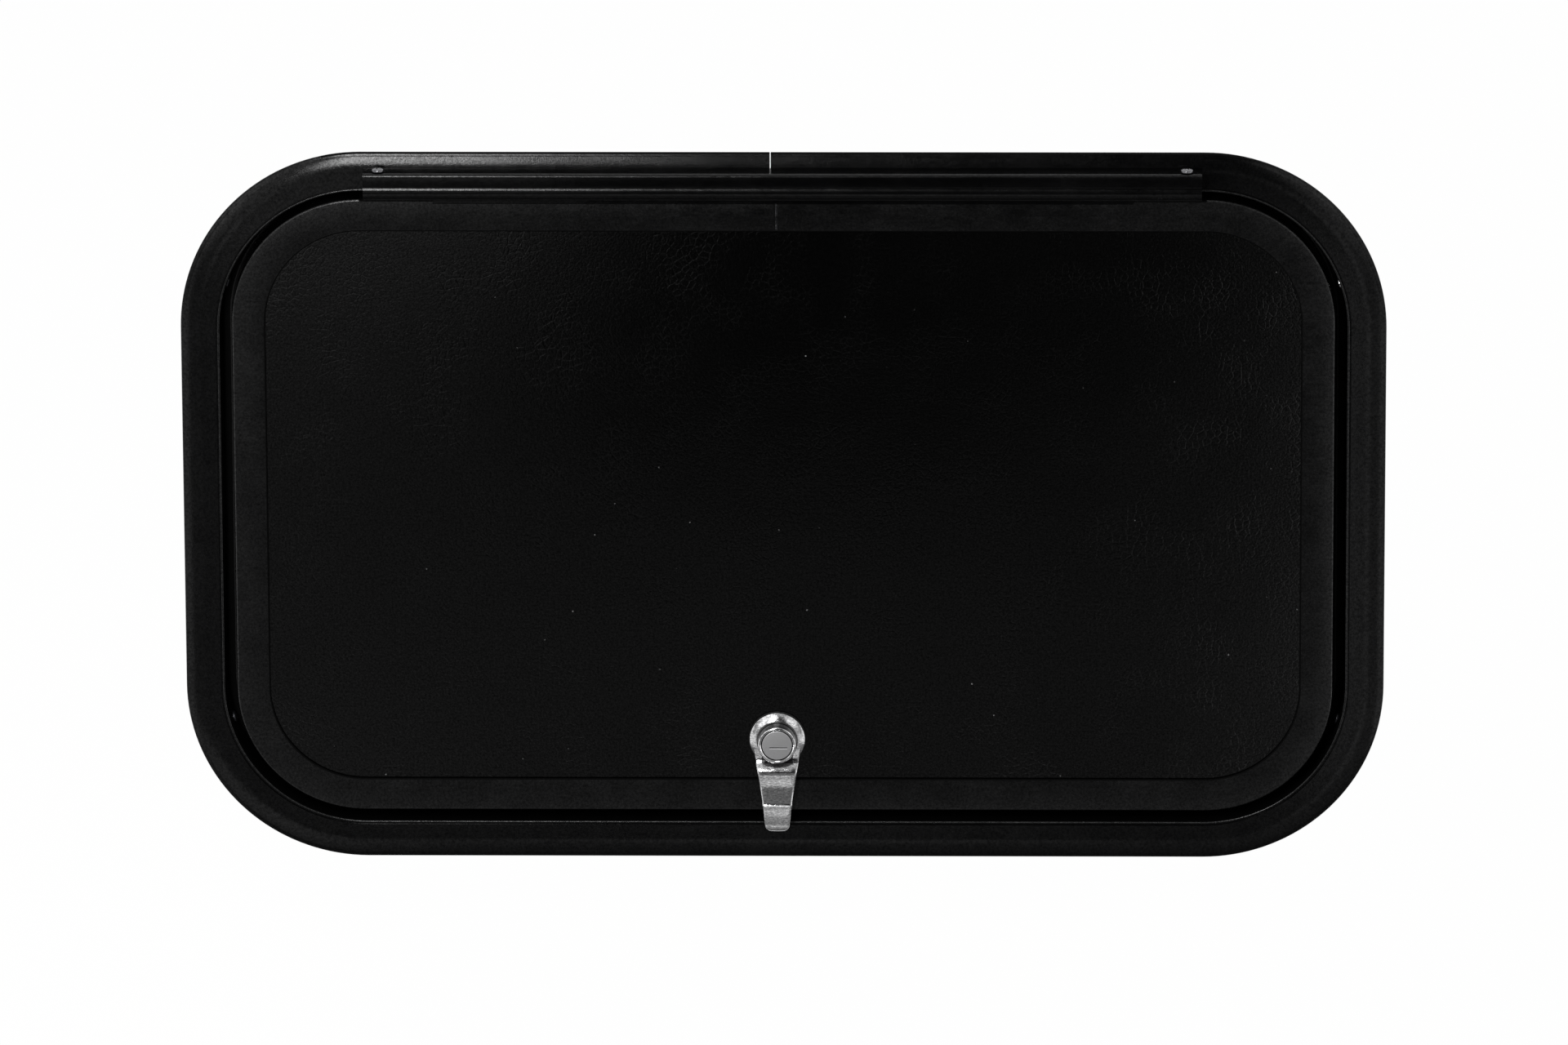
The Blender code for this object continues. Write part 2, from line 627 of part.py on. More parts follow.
# Gasket, bushing, washer and nut that clamp the latch in the panel
add(
    "latch_gasket",
    sleeve(GASKET_RADIUS, BORE, GASKET_FRONT_Y, GASKET_BACK_Y),
    RUBBER,
    LID,
    LATCH_AXIS,
)
flange_front = GASKET_FRONT_Y - FIT - BUSHING_FLANGE_WALL
washer_front = PANEL_BACK_Y + FIT
nut_front = washer_front + WASHER_WALL + FIT
bushing_back = nut_front + NUT_WALL
add(
    "latch_bushing",
    turned(
        [
            (SPINDLE_RADIUS + FIT, flange_front),
            (BUSHING_FLANGE, flange_front),
            (BUSHING_FLANGE, flange_front + BUSHING_FLANGE_WALL),
            (BUSHING_RADIUS, flange_front + BUSHING_FLANGE_WALL),
            (BUSHING_RADIUS, bushing_back),
            (SPINDLE_RADIUS + FIT, bushing_back),
        ]
    ),
    BLACK_ZINC,
    LID,
    LATCH_AXIS,
)
add(
    "latch_washer",
    sleeve(WASHER_RADIUS, BORE, washer_front, washer_front + WASHER_WALL),
    STEEL,
    LID,
    LATCH_AXIS,
)
latch_nut = add(
    "latch_nut", plate(hexagon(NUT_WIDTH), nut_front, nut_front + NUT_WALL), STEEL, LID, LATCH_AXIS
)
nut_hole = rod(BORE, nut_front - WASHER_WALL, nut_front + 2 * NUT_WALL)
cut(latch_nut, "latch_nut_cutter", nut_hole, LATCH_AXIS)

# Handle casting: a skirted round head with a hub for the lock, and a lever hanging from it
recess_floor = flange_front - FIT
lock_bore = LOCK_FACE_RADIUS + LOCK_GAP
lock_face_y = HUB_FRONT_Y + LOCK_SUNK
lock_floor = lock_face_y + LOCK_FACE_WALL + LOCK_BODY_LENGTH + FIT
spindle_front = lock_floor + LOCK_FLOOR_WALL + FIT
skirt_top = HEAD_BASE_Y - SKIRT_RISE
handle = add(
    "handle",
    turned(
        [
            (0, lock_floor),
            (lock_bore, lock_floor),
            (lock_bore, HUB_FRONT_Y),
            (HUB_RADIUS - HUB_EDGE, HUB_FRONT_Y),
            (HUB_RADIUS, HUB_FRONT_Y + HUB_EDGE),
            (HUB_RADIUS, skirt_top - HUB_COVE),
            (HUB_RADIUS + HUB_COVE, skirt_top),
            (HEAD_RADIUS - HEAD_EDGE, HEAD_BASE_Y - HEAD_RIM),
            (HEAD_RADIUS, HEAD_BASE_Y - HEAD_RIM + HEAD_EDGE),
            (HEAD_RADIUS, HEAD_BASE_Y),
            (BUSHING_FLANGE + FIT, HEAD_BASE_Y),
            (BUSHING_FLANGE + FIT, recess_floor),
            (SPINDLE_RADIUS + FIT, recess_floor),
            (SPINDLE_RADIUS + FIT, spindle_front - FIT),
            (0, spindle_front - FIT),
        ],
        HEAD_STEPS,
    ),
    CHROME,
    HANDLE,
    LATCH_AXIS,
    crease=25.0,
)

# The lever's stations: distance below the axis, half width,
# and how far its front and its back stand off the head's base
lever_stations = [
    (0.0050, 0.0146, 0.0048, 0.0022),
    (0.0122, 0.0133, 0.0041, 0.0022),
    (0.0130, 0.0132, 0.0078, 0.0026),
    (0.0165, 0.0125, 0.0103, 0.0036),
    (0.0195, 0.0119, 0.0109, 0.0050),
    (0.0235, 0.0113, 0.0104, 0.0060),
    (0.0290, 0.0105, 0.0100, 0.0060),
    (0.0360, 0.0095, 0.0104, 0.0058),
    (0.0388, 0.0092, 0.0109, 0.0060),
    (LEVER_CREASE, 0.0090, 0.0119, 0.0062),
    (LEVER_CREASE + LEVER_CREASE_FALL, 0.0087, 0.0115, 0.0062),
    (LEVER_LENGTH - LEVER_TIP_ROUND, 0.0077, 0.0097, 0.0052),
    (LEVER_LENGTH - LEVER_TIP_ROUND / 4, 0.0066, 0.0091, 0.0054),
    (LEVER_LENGTH, 0.0050, 0.0085, 0.0060),
]


def lever_section(half, front, back):
    """A station's outline: a flat bar with bevelled front edges and rounded back edges."""
    bevel = min(LEVER_BEVEL, 0.42 * (front - back))
    soft = 0.5 * bevel
    return [
        (-half, back + soft),
        (-half, front - bevel),
        (-half + 0.45 * bevel, front - 0.35 * bevel),
        (-half + 1.3 * bevel, front),
        (half - 1.3 * bevel, front),
        (half - 0.45 * bevel, front - 0.35 * bevel),
        (half, front - bevel),
        (half, back + soft),
        (half - soft, back),
        (-half + soft, back),
    ]


lever = bmesh.new()
loops = [
    wire(lever, [(x, HEAD_BASE_Y - out, -below) for x, out in lever_section(half, front, back)])
    for below, half, front, back in lever_stations
]
for near, far in zip(loops, loops[1:]):
    bmesh.ops.bridge_loops(lever, edges=near + far)
bmesh.ops.edgeloop_fill(lever, edges=loops[0])
bmesh.ops.edgeloop_fill(lever, edges=loops[-1])
lever_blank = add("lever_blank", lever, CHROME, None, LATCH_AXIS)
lever_blank.hide_render = True
lever_blank.display_type = "WIRE"
join = handle.modifiers.new("lever", "BOOLEAN")
join.operation = "UNION"
join.object = lever_blank

# Spindle: round through the bushing, square in the cam, then a stud for the nut
cam_back = CAM_FRONT_Y + CAM_WALL
stud_back = cam_back + FIT + WASHER_WALL + FIT + CAM_NUT_WALL + STUD_RADIUS / 2
square_back = cam_back - FIT
shoulder = CAM_FRONT_Y - FIT
spindle = add(
    "latch_spindle",
    turned(
        [
            (0, spindle_front),
            (SPINDLE_RADIUS, spindle_front),
            (SPINDLE_RADIUS, shoulder),
            (STUD_RADIUS, shoulder),
            (STUD_RADIUS, stud_back),
            (0, stud_back),
        ]
    ),
    STEEL,
    HANDLE,
    LATCH_AXIS,
)
square_blank = add(
    "spindle_square",
    plate(square(SPINDLE_SQUARE), shoulder - CAM_WALL / 2, square_back),
    STEEL,
    None,
    LATCH_AXIS,
)
square_blank.hide_render = True
square_blank.display_type = "WIRE"
join = spindle.modifiers.new("square", "BOOLEAN")
join.operation = "UNION"
join.object = square_blank

# Cam on the spindle's square; it lies across the lid while the lever hangs down
cam_round = CAM_WIDTH / 2
cam_tip = CAM_TIP_WIDTH / 2
cam = add(
    "latch_cam",
    plate(
        [
            *arc(0, 0, cam_round, -90, 90, 10),
            *arc(-CAM_REACH + cam_tip, 0, cam_tip, 90, 270, 8),
        ],
        CAM_FRONT_Y,
        cam_back,
    ),
    STEEL,
    HANDLE,
    LATCH_AXIS,
)
cam_hole = plate(square(SPINDLE_SQUARE + 2 * FIT), CAM_FRONT_Y - CAM_WALL, cam_back + CAM_WALL)
cut(cam, "cam_hole_cutter", cam_hole, LATCH_AXIS)
cam_washer_front = cam_back + FIT
add(
    "cam_washer",
    sleeve(
        CAM_WASHER_RADIUS, STUD_RADIUS + FIT, cam_washer_front, cam_washer_front + WASHER_WALL
    ),
    STEEL,
    HANDLE,
    LATCH_AXIS,
)
cam_nut_front = cam_washer_front + WASHER_WALL + FIT
cam_nut = add(
    "cam_nut",
    plate(hexagon(CAM_NUT_WIDTH), cam_nut_front, cam_nut_front + CAM_NUT_WALL),
    STEEL,
    HANDLE,
    LATCH_AXIS,
)
cam_nut_hole = rod(STUD_RADIUS + FIT, cam_nut_front - WASHER_WALL, cam_nut_front + 2 * CAM_NUT_WALL)
cut(cam_nut, "cam_nut_cutter", cam_nut_hole, LATCH_AXIS)

# Lock: a sleeve in the hub and a plug whose face carries the keyway
body_back = lock_floor - FIT
add(
    "lock_sleeve",
    sleeve(
        lock_bore - FIT,
        LOCK_BODY_RADIUS + FIT,
        lock_face_y + LOCK_FACE_WALL + FIT,
        body_back,
    ),
    BLACK_ZINC,
    HANDLE,
    LATCH_AXIS,
)
lock_plug = add(
    "lock_plug",
    turned(
        [
            (0, lock_face_y),
            (LOCK_FACE_RADIUS - LOCK_SUNK, lock_face_y),
            (LOCK_FACE_RADIUS, lock_face_y + LOCK_SUNK),
            (LOCK_FACE_RADIUS, lock_face_y + LOCK_FACE_WALL),
            (LOCK_BODY_RADIUS, lock_face_y + LOCK_FACE_WALL),
            (LOCK_BODY_RADIUS, body_back),
            (0, body_back),
        ]
    ),
    CHROME,
    LOCK,
    LATCH_AXIS,
)
keyway_left = KEYWAY_ASIDE - KEYWAY_LENGTH / 2
keyway_right = KEYWAY_ASIDE + KEYWAY_LENGTH / 2
keyway_bottom = -KEYWAY_DROP - KEYWAY_WIDTH / 2
keyway_top = -KEYWAY_DROP + KEYWAY_WIDTH / 2
keyway = plate(
    [
        (keyway_left, keyway_bottom),
        (keyway_right, keyway_bottom),
        (keyway_right, keyway_top),
        (keyway_left, keyway_top),
    ],
    lock_face_y - KEYWAY_DEPTH,
    lock_face_y + KEYWAY_DEPTH,
)
cut(lock_plug, "keyway_cutter", keyway, LATCH_AXIS)
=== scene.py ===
"""Dressed model of a top-hung compartment hatch: satin black frame and lid, glossy panel, chrome lever.

Metres, +Z up. The hatch stands upright with its face towards -Y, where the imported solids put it.
"""
import json
import math

import bmesh
import bpy
from mathutils import Matrix, Vector


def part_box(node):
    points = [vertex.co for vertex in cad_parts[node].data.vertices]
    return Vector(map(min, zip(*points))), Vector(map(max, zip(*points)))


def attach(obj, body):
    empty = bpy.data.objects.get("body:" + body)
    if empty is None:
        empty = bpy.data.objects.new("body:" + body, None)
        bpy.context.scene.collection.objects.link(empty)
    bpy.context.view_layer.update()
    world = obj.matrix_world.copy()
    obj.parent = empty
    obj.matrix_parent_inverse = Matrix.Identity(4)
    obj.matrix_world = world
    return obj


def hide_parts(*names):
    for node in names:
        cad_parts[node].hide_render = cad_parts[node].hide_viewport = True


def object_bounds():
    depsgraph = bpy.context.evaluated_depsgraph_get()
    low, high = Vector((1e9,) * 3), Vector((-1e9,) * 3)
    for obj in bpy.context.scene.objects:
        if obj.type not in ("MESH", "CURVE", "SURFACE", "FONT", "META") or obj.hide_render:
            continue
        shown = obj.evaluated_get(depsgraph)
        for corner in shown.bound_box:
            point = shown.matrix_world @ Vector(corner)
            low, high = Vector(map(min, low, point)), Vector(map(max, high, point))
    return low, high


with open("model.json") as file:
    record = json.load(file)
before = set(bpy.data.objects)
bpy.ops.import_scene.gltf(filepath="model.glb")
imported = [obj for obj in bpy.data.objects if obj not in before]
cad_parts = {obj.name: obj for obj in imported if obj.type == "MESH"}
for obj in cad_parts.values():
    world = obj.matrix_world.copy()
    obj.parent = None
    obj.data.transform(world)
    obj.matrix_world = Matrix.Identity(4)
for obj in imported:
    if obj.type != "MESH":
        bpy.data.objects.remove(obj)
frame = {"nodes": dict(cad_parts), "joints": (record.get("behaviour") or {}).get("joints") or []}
cad_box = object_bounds()

# Camera: a long lens far in front, a little above the face and a hair to its right.
# The hatch sits slightly above the middle of the picture.
VIEW_RISE = math.radians(17.0)
VIEW_SIDE = math.radians(1.1205)
VIEW_ROLL = math.radians(-0.2447)
VIEW_DISTANCE = 8.7424
VIEW_LENS_MM = 330.34
VIEW_SENSOR_MM = 36.0
VIEW_FAR = 60.0
AIM_BELOW = 0.00975

towards_camera = Vector((
    math.sin(VIEW_SIDE) * math.cos(VIEW_RISE),
    -math.cos(VIEW_SIDE) * math.cos(VIEW_RISE),
    math.sin(VIEW_RISE),
))
level_right = (-towards_camera).cross(Vector((0, 0, 1))).normalized()
level_up = level_right.cross(-towards_camera)
picture_right = math.cos(VIEW_ROLL) * level_right + math.sin(VIEW_ROLL) * level_up
picture_up = math.cos(VIEW_ROLL) * level_up - math.sin(VIEW_ROLL) * level_right
stand_point = VIEW_DISTANCE * towards_camera - AIM_BELOW * picture_up
camera = bpy.data.objects.new("camera", bpy.data.cameras.new("camera"))
axes = Matrix((picture_right, picture_up, towards_camera)).transposed()
camera.matrix_world = Matrix.Translation(stand_point) @ axes.to_4x4()
camera.data.lens = VIEW_LENS_MM
camera.data.sensor_fit = "HORIZONTAL"
camera.data.sensor_width = VIEW_SENSOR_MM
camera.data.clip_end = VIEW_FAR
bpy.context.scene.collection.objects.link(camera)
bpy.context.scene.camera = camera
bpy.context.scene.view_settings.view_transform = "Standard"

# Studio: a white room with a plain pale floor well below the hatch.
# The room is white to the eye and in reflections, and dimmer as a light.
ROOM_LIGHT = 0.30
FLOOR_DROP = 0.42
FLOOR_SIZE = 14.0
FLOOR_COLOUR = (0.96, 0.96, 0.96)
FLOOR_ROUGHNESS = 0.9
FLOOR_GLOW = 0.96
FLOOR_WHITE = 1.02


def joined(tree, operation, first, second):
    """A math node over two sockets, or a socket and a number."""
    node = tree.nodes.new("ShaderNodeMath")
    node.operation = operation
    tree.links.new(first, node.inputs[0])
    if isinstance(second, float):
        node.inputs[1].default_value = second
    else:
        tree.links.new(second, node.inputs[1])
    return node.outputs[0]


def seen_rays(tree):
    """A socket that is 1 for camera, glossy and transmission rays, and 0 for the rest."""
    path = tree.nodes.new("ShaderNodeLightPath")
    either = joined(tree, "MAXIMUM", path.outputs["Is Camera Ray"], path.outputs["Is Glossy Ray"])
    return joined(tree, "MAXIMUM", either, path.outputs["Is Transmission Ray"])


def between(tree, factor, low, high, start=0.0, end=1.0):
    """A factor that runs from start to end, spread over low to high."""
    node = tree.nodes.new("ShaderNodeMapRange")
    node.inputs["From Min"].default_value = start
    node.inputs["From Max"].default_value = end
    node.inputs["To Min"].default_value = low
    node.inputs["To Max"].default_value = high
    tree.links.new(factor, node.inputs["Value"])
    return node.outputs["Result"]


room = bpy.data.worlds.new("room")
room.use_nodes = True
room_tree = room.node_tree
backdrop = room_tree.nodes["Background"]
backdrop.inputs["Color"].default_value = (1, 1, 1, 1)
room_tree.links.new(between(room_tree, seen_rays(room_tree), ROOM_LIGHT, 1.0), backdrop.inputs["Strength"])
bpy.context.scene.world = room

floor_finish = bpy.data.materials.new("floor")
floor_finish.use_nodes = True
floor_tree = floor_finish.node_tree
floor_paint = floor_tree.nodes["Principled BSDF"]
floor_paint.inputs["Base Color"].default_value = (*FLOOR_COLOUR, 1)
floor_paint.inputs["Roughness"].default_value = FLOOR_ROUGHNESS
floor_paint.inputs["Specular IOR Level"].default_value = 0.0
floor_white = floor_tree.nodes.new("ShaderNodeEmission")
floor_white.inputs["Strength"].default_value = FLOOR_WHITE
floor_mix = floor_tree.nodes.new("ShaderNodeMixShader")
floor_tree.links.new(between(floor_tree, seen_rays(floor_tree), 0.0, FLOOR_GLOW), floor_mix.inputs["Fac"])
floor_tree.links.new(floor_paint.outputs[0], floor_mix.inputs[1])
floor_tree.links.new(floor_white.outputs[0], floor_mix.inputs[2])
floor_tree.links.new(floor_mix.outputs[0], floor_tree.nodes["Material Output"].inputs["Surface"])
floor_shape = bmesh.new()
bmesh.ops.create_grid(floor_shape, x_segments=1, y_segments=1, size=FLOOR_SIZE / 2)
bmesh.ops.translate(floor_shape, verts=floor_shape.verts, vec=(0, 0, cad_box[0].z - FLOOR_DROP))
floor = bpy.data.objects.new("floor", bpy.data.meshes.new("floor"))
floor_shape.to_mesh(floor.data)
floor_shape.free()
floor.data.materials.append(floor_finish)
bpy.context.scene.collection.objects.link(floor)


def area_light(name, place, aim, size, watts):
    """A rectangular lamp that faces its aim."""
    lamp = bpy.data.lights.new(name, "AREA")
    lamp.shape = "RECTANGLE"
    lamp.size, lamp.size_y = size
    lamp.energy = watts
    made = bpy.data.objects.new(name, lamp)
    made.location = place
    made.rotation_euler = (Vector(aim) - Vector(place)).to_track_quat("-Z", "Y").to_euler()
    bpy.context.scene.collection.objects.link(made)


area_light("key_light", (-1.5, -2.2, 2.2), (0, 0, 0), (2.4, 1.8), 12)
area_light("sheen_light", (-0.42, -2.0, 0.90), (-0.2, 0, 0.2), (0.30, 0.95), 24)
area_light("fill_light", (1.8, -2.4, 1.6), (0, 0, 0), (1.8, 1.2), 3)

# Cards seen only in reflections: a grey wall far in front, a grey ceiling, a grey apron on the floor,
# a white card at each side, and a dim screen before the panel. Soft dark and light patches on them
# make the cloudy gleam of the panel and the lights and darks of the chrome.
WALL_AHEAD = 3.4
WALL_MIDDLE = 1.9
WALL_SIZE = (11.0, 5.0)
WALL_GREY = 0.32
SCREEN_AHEAD = 0.95
SCREEN_MIDDLE = -0.27
SCREEN_SIZE = (1.9, 0.72)
SCREEN_GREY = 0.17
APRON_SIZE = (1.9, 0.94)
APRON_LIFT = 0.01
APRON_GREY = 0.40
SIDE_OUT = 1.4
SIDE_MIDDLE = -0.35
SIDE_SIZE = (0.9, 0.6)
SIDE_WHITE = 2.0
CEILING_RISE = 2.6
CEILING_SIZE = (6.0, 3.8)
CEILING_GREY = 0.45


def card(name, place, size, stance):
    """A glowing card that lies, or faces the hatch from the front or a side, with its tree and emission."""
    finish = bpy.data.materials.new(name)
    finish.use_nodes = True
    tree = finish.node_tree
    tree.nodes.remove(tree.nodes["Principled BSDF"])
    glow = tree.nodes.new("ShaderNodeEmission")
    tree.links.new(glow.outputs[0], tree.nodes["Material Output"].inputs["Surface"])
    shape = bmesh.new()
    bmesh.ops.create_grid(shape, x_segments=1, y_segments=1, size=0.5)
    bmesh.ops.scale(shape, verts=shape.verts, vec=(*size, 1))
    if stance != "lying":
        bmesh.ops.rotate(shape, verts=shape.verts, matrix=Matrix.Rotation(math.pi / 2, 3, "X"))
    if stance == "side":
        bmesh.ops.rotate(shape, verts=shape.verts, matrix=Matrix.Rotation(math.pi / 2, 3, "Z"))
    bmesh.ops.translate(shape, verts=shape.verts, vec=place)
    made = bpy.data.objects.new(name, bpy.data.meshes.new(name))
    shape.to_mesh(made.data)
    shape.free()
    made.data.materials.append(finish)
    bpy.context.scene.collection.objects.link(made)
    for ray in ("visible_camera", "visible_diffuse", "visible_shadow", "visible_transmission"):
        setattr(made, ray, False)
    return tree, glow


def soft_patch(tree, axes, plane, middle, half, soft):
    """1 inside a rectangle in a plane, fading to 0 over a soft border."""
    masks = []
    for axis, centre, reach in zip(plane, middle, half):
        off = joined(tree, "SUBTRACT", axes.outputs[axis], centre)
        far = joined(tree, "ABSOLUTE", off, 0.0)
        mask = between(tree, far, 1.0, 0.0, reach - soft, reach + soft)
        mask.node.interpolation_type = "SMOOTHSTEP"
        masks.append(mask)
    return joined(tree, "MULTIPLY", *masks)


def patched(tree, glow, grey, plane, patches):
    """Lays patches on a card: middle, half size, soft border, and the share they add or take."""
    place = tree.nodes.new("ShaderNodeTexCoord")
    axes = tree.nodes.new("ShaderNodeSeparateXYZ")
    tree.links.new(place.outputs["Object"], axes.inputs[0])
    brightness = grey
    for middle, half, soft, gain in patches:
        mask = soft_patch(tree, axes, plane, middle, half, soft)
        brightness = joined(tree, "MULTIPLY", between(tree, mask, 1.0, 1.0 + gain), brightness)
    tree.links.new(brightness, glow.inputs["Strength"])


for side in (-1, 1):
    glow = card(f"side_card_{side}", (side * SIDE_OUT, 0, SIDE_MIDDLE), SIDE_SIZE, "side")[1]
    glow.inputs["Strength"].default_value = SIDE_WHITE
ceiling_place = (0, -CEILING_SIZE[1] / 2, CEILING_RISE)
patched(*card("grey_ceiling", ceiling_place, CEILING_SIZE, "lying"), CEILING_GREY, "XY", [
    ((-0.20, -1.05), (0.50, 0.55), 0.20, 4.0),
])
apron_place = (0, -APRON_SIZE[1] / 2, cad_box[0].z - FLOOR_DROP + APRON_LIFT)
patched(*card("grey_apron", apron_place, APRON_SIZE, "lying"), APRON_GREY, "XY", [
    ((0.0, -0.10), (2.0, 0.30), 0.30, -0.65),
    ((0.0, -0.90), (0.15, 0.15), 0.15, 1.40),
    ((-0.60, -0.65), (0.30, 0.35), 0.15, 1.20),
])
patched(*card("grey_wall", (0, -WALL_AHEAD, WALL_MIDDLE), WALL_SIZE, "front"), WALL_GREY, "XZ", [
    ((0.55, 1.70), (0.55, 1.80), 0.30, -0.90),
    ((2.2, 0.6), (1.6, 1.4), 0.7, 1.8),
    ((2.45, 1.1), (0.65, 0.8), 0.35, 0.4),
    ((-2.2, 0.6), (1.6, 1.4), 0.7, 2.0),
    ((-2.45, 1.1), (0.65, 0.8), 0.35, 1.2),
])
patched(*card("dim_screen", (0, -SCREEN_AHEAD, SCREEN_MIDDLE), SCREEN_SIZE, "front"), SCREEN_GREY, "XZ", [
    ((-0.030, -0.100), (0.146, 0.146), 0.022, -0.95),
    ((-0.132, -0.262), (0.036, 0.024), 0.018, -0.80),
    ((0.080, -0.262), (0.028, 0.024), 0.018, -0.80),
    ((0.250, -0.170), (0.150, 0.130), 0.050, -0.65),
    ((0.135, -0.180), (0.016, 0.020), 0.030, 2.50),
    ((-0.330, -0.080), (0.100, 0.060), 0.080, 0.50),
    ((-0.330, -0.480), (0.120, 0.050), 0.090, 0.85),
    ((-0.300, 0.020), (0.260, 0.080), 0.030, 2.60),
    ((0.130, 0.000), (0.150, 0.090), 0.040, -0.85),
    ((0.480, -0.270), (0.080, 0.600), 0.040, 4.00),
    ((0.850, -0.270), (0.290, 0.600), 0.040, 1.80),
    ((-0.790, -0.270), (0.340, 0.600), 0.040, 1.10),
])

# Frame: one aluminium extrusion bent round four corners and butted at the top, coated satin black.
# Its crowned flange lies on the wall, its leg goes through the cut-out and its lip carries the seal.
frame_low, frame_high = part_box("frame_extrusion")
FRAME_WIDTH = frame_high.x - frame_low.x
FRAME_HEIGHT = frame_high.z - frame_low.z
FLANGE_HEIGHT = -frame_low.y
LEG_DEPTH = frame_high.y
FRAME_CORNER = 0.110
FLANGE_WIDTH = 0.0221
FLANGE_EDGE = 0.0016
FLANGE_EDGE_ROUND = 0.0010
FLANGE_CREASE = 0.0135
FLANGE_FALL = 0.0003
TOP_EDGE_DROP = 0.0030
BEAD_WIDTH = 0.0015
GROOVE_WIDTH = 0.0009
GROOVE_DEPTH = 0.0010
LEG_WALL = 0.0020
LIP_REACH = 0.0150
LIP_WALL = 0.0020
FRAME_SEAM_X = -0.0074
SEAM_GAP = 0.0004
SEAM_BURR = 0.00013
SEAM_BARE = 1.2 * SEAM_BURR
BEND_STEPS = 36
FIT = 0.0003
COAT_BLACK = (0.0011, 0.0011, 0.0012)
COAT_WORN = (0.0032, 0.0032, 0.0033)


def arc(across, up, radius, start, end, steps):
    """Points of an arc about (across, up), angles in degrees."""
    turns = [math.radians(start + (end - start) * step / steps) for step in range(steps + 1)]
    return [(across + radius * math.cos(turn), up + radius * math.sin(turn)) for turn in turns]


def wire(shape, points):
    """A closed loop of edges through points."""
    corners = [shape.verts.new(point) for point in points]
    return [shape.edges.new((corners[index - 1], corner)) for index, corner in enumerate(corners)]


def run_on(shape, edges, way):
    """Extrudes a loop along a straight and gives the loop at its far end."""
    grown = bmesh.ops.extrude_edge_only(shape, edges=edges)["geom"]
    far = {item for item in grown if isinstance(item, bmesh.types.BMVert)}
    bmesh.ops.translate(shape, verts=list(far), vec=way)
    return [item for item in grown if isinstance(item, bmesh.types.BMEdge) and set(item.verts) <= far]


def bend(shape, edges, centre):
    """Turns a loop a quarter turn about an axis along Y and gives the loop at its far end."""
    ends = list({end for edge in edges for end in edge.verts})
    quarter = math.pi / 2
    last = bmesh.ops.spin(
        shape, geom=edges + ends, cent=centre, axis=(0, 1, 0), angle=quarter, steps=BEND_STEPS
    )["geom_last"]
    return [item for item in last if isinstance(item, bmesh.types.BMEdge)]


def broken(shape, edges, offset, segments):
    """Takes the sharpness off edges with a narrow bevel."""
    bmesh.ops.bevel(
        shape, geom=edges, offset=offset, offset_type="OFFSET", segments=segments,
        profile=0.5, affect="EDGES", clamp_overlap=True, material=-1,
    )


def bent_bar(outline, width, height, radius, middle=0.0, seam_x=None):
    """An extrusion bent round a rectangle, closed or butted at a seam; outline points are (inset, y)."""
    shape = bmesh.new()
    start_x = 0.0 if seam_x is None else seam_x
    half_gap = 0.0 if seam_x is None else SEAM_GAP / 2
    side = width / 2 - radius
    rise = height / 2 - radius
    first = wire(shape, [(start_x + half_gap, y, middle + height / 2 - inset) for inset, y in outline])
    loop = run_on(shape, first, (side - start_x - half_gap, 0, 0))
    corners = [(side, rise), (side, -rise), (-side, -rise), (-side, rise)]
    runs = [(0, -2 * rise), (-2 * side, 0), (0, 2 * rise), (side + start_x - half_gap, 0)]
    for (corner_x, corner_z), (run_x, run_z) in zip(corners, runs):
        loop = bend(shape, loop, (corner_x, 0, middle + corner_z))
        loop = run_on(shape, loop, (run_x, 0, run_z))
    if seam_x is not None:
        bmesh.ops.edgeloop_fill(shape, edges=first)
        bmesh.ops.edgeloop_fill(shape, edges=loop)
        broken(shape, first + loop, SEAM_BURR, 1)
        bare = half_gap + SEAM_BARE
        for face in shape.faces:
            if all(abs(corner.co.x - seam_x) < bare and corner.co.z > middle for corner in face.verts):
                face.material_index = 1
    return shape


def piece(name, shape, finishes, body, nodes, crease=32.0):
    """An object from a finished bmesh that rides on a body and stands for its solid."""
    bmesh.ops.remove_doubles(shape, verts=shape.verts, dist=1e-7)
    bmesh.ops.recalc_face_normals(shape, faces=shape.faces)
    made = bpy.data.objects.new(name, bpy.data.meshes.new(name))
    shape.to_mesh(made.data)
    shape.free()
    made.data.shade_smooth()
    made.data.set_sharp_from_angle(angle=math.radians(crease))
    for finish in finishes:
        made.data.materials.append(finish)
    bpy.context.scene.collection.objects.link(made)
    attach(made, body)
    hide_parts(*nodes)


def new_finish(name, colour, roughness, metallic, specular):
    """A material with a Principled shader, and its node tree and shader."""
    finish = bpy.data.materials.new(name)
    finish.use_nodes = True
    shader = finish.node_tree.nodes["Principled BSDF"]
    shader.inputs["Base Color"].default_value = (*colour, 1)
    shader.inputs["Roughness"].default_value = roughness
    shader.inputs["Metallic"].default_value = metallic
    shader.inputs["Specular IOR Level"].default_value = specular
    return finish, finish.node_tree, shader


def texture(tree, kind, stretch=(1, 1, 1), **sockets):
    """A texture on Object coordinates, stretched along the axes."""
    place = tree.nodes.new("ShaderNodeTexCoord")
    scaled = tree.nodes.new("ShaderNodeMapping")
    scaled.inputs["Scale"].default_value = stretch
    node = tree.nodes.new(kind)
    tree.links.new(place.outputs["Object"], scaled.inputs["Vector"])
    tree.links.new(scaled.outputs[0], node.inputs["Vector"])
    for socket, value in sockets.items():
        node.inputs[socket].default_value = value
    return node


def noise(tree, stretch=(1, 1, 1), **sockets):
    """The factor of a noise texture."""
    return texture(tree, "ShaderNodeTexNoise", stretch, **sockets).outputs["Fac"]


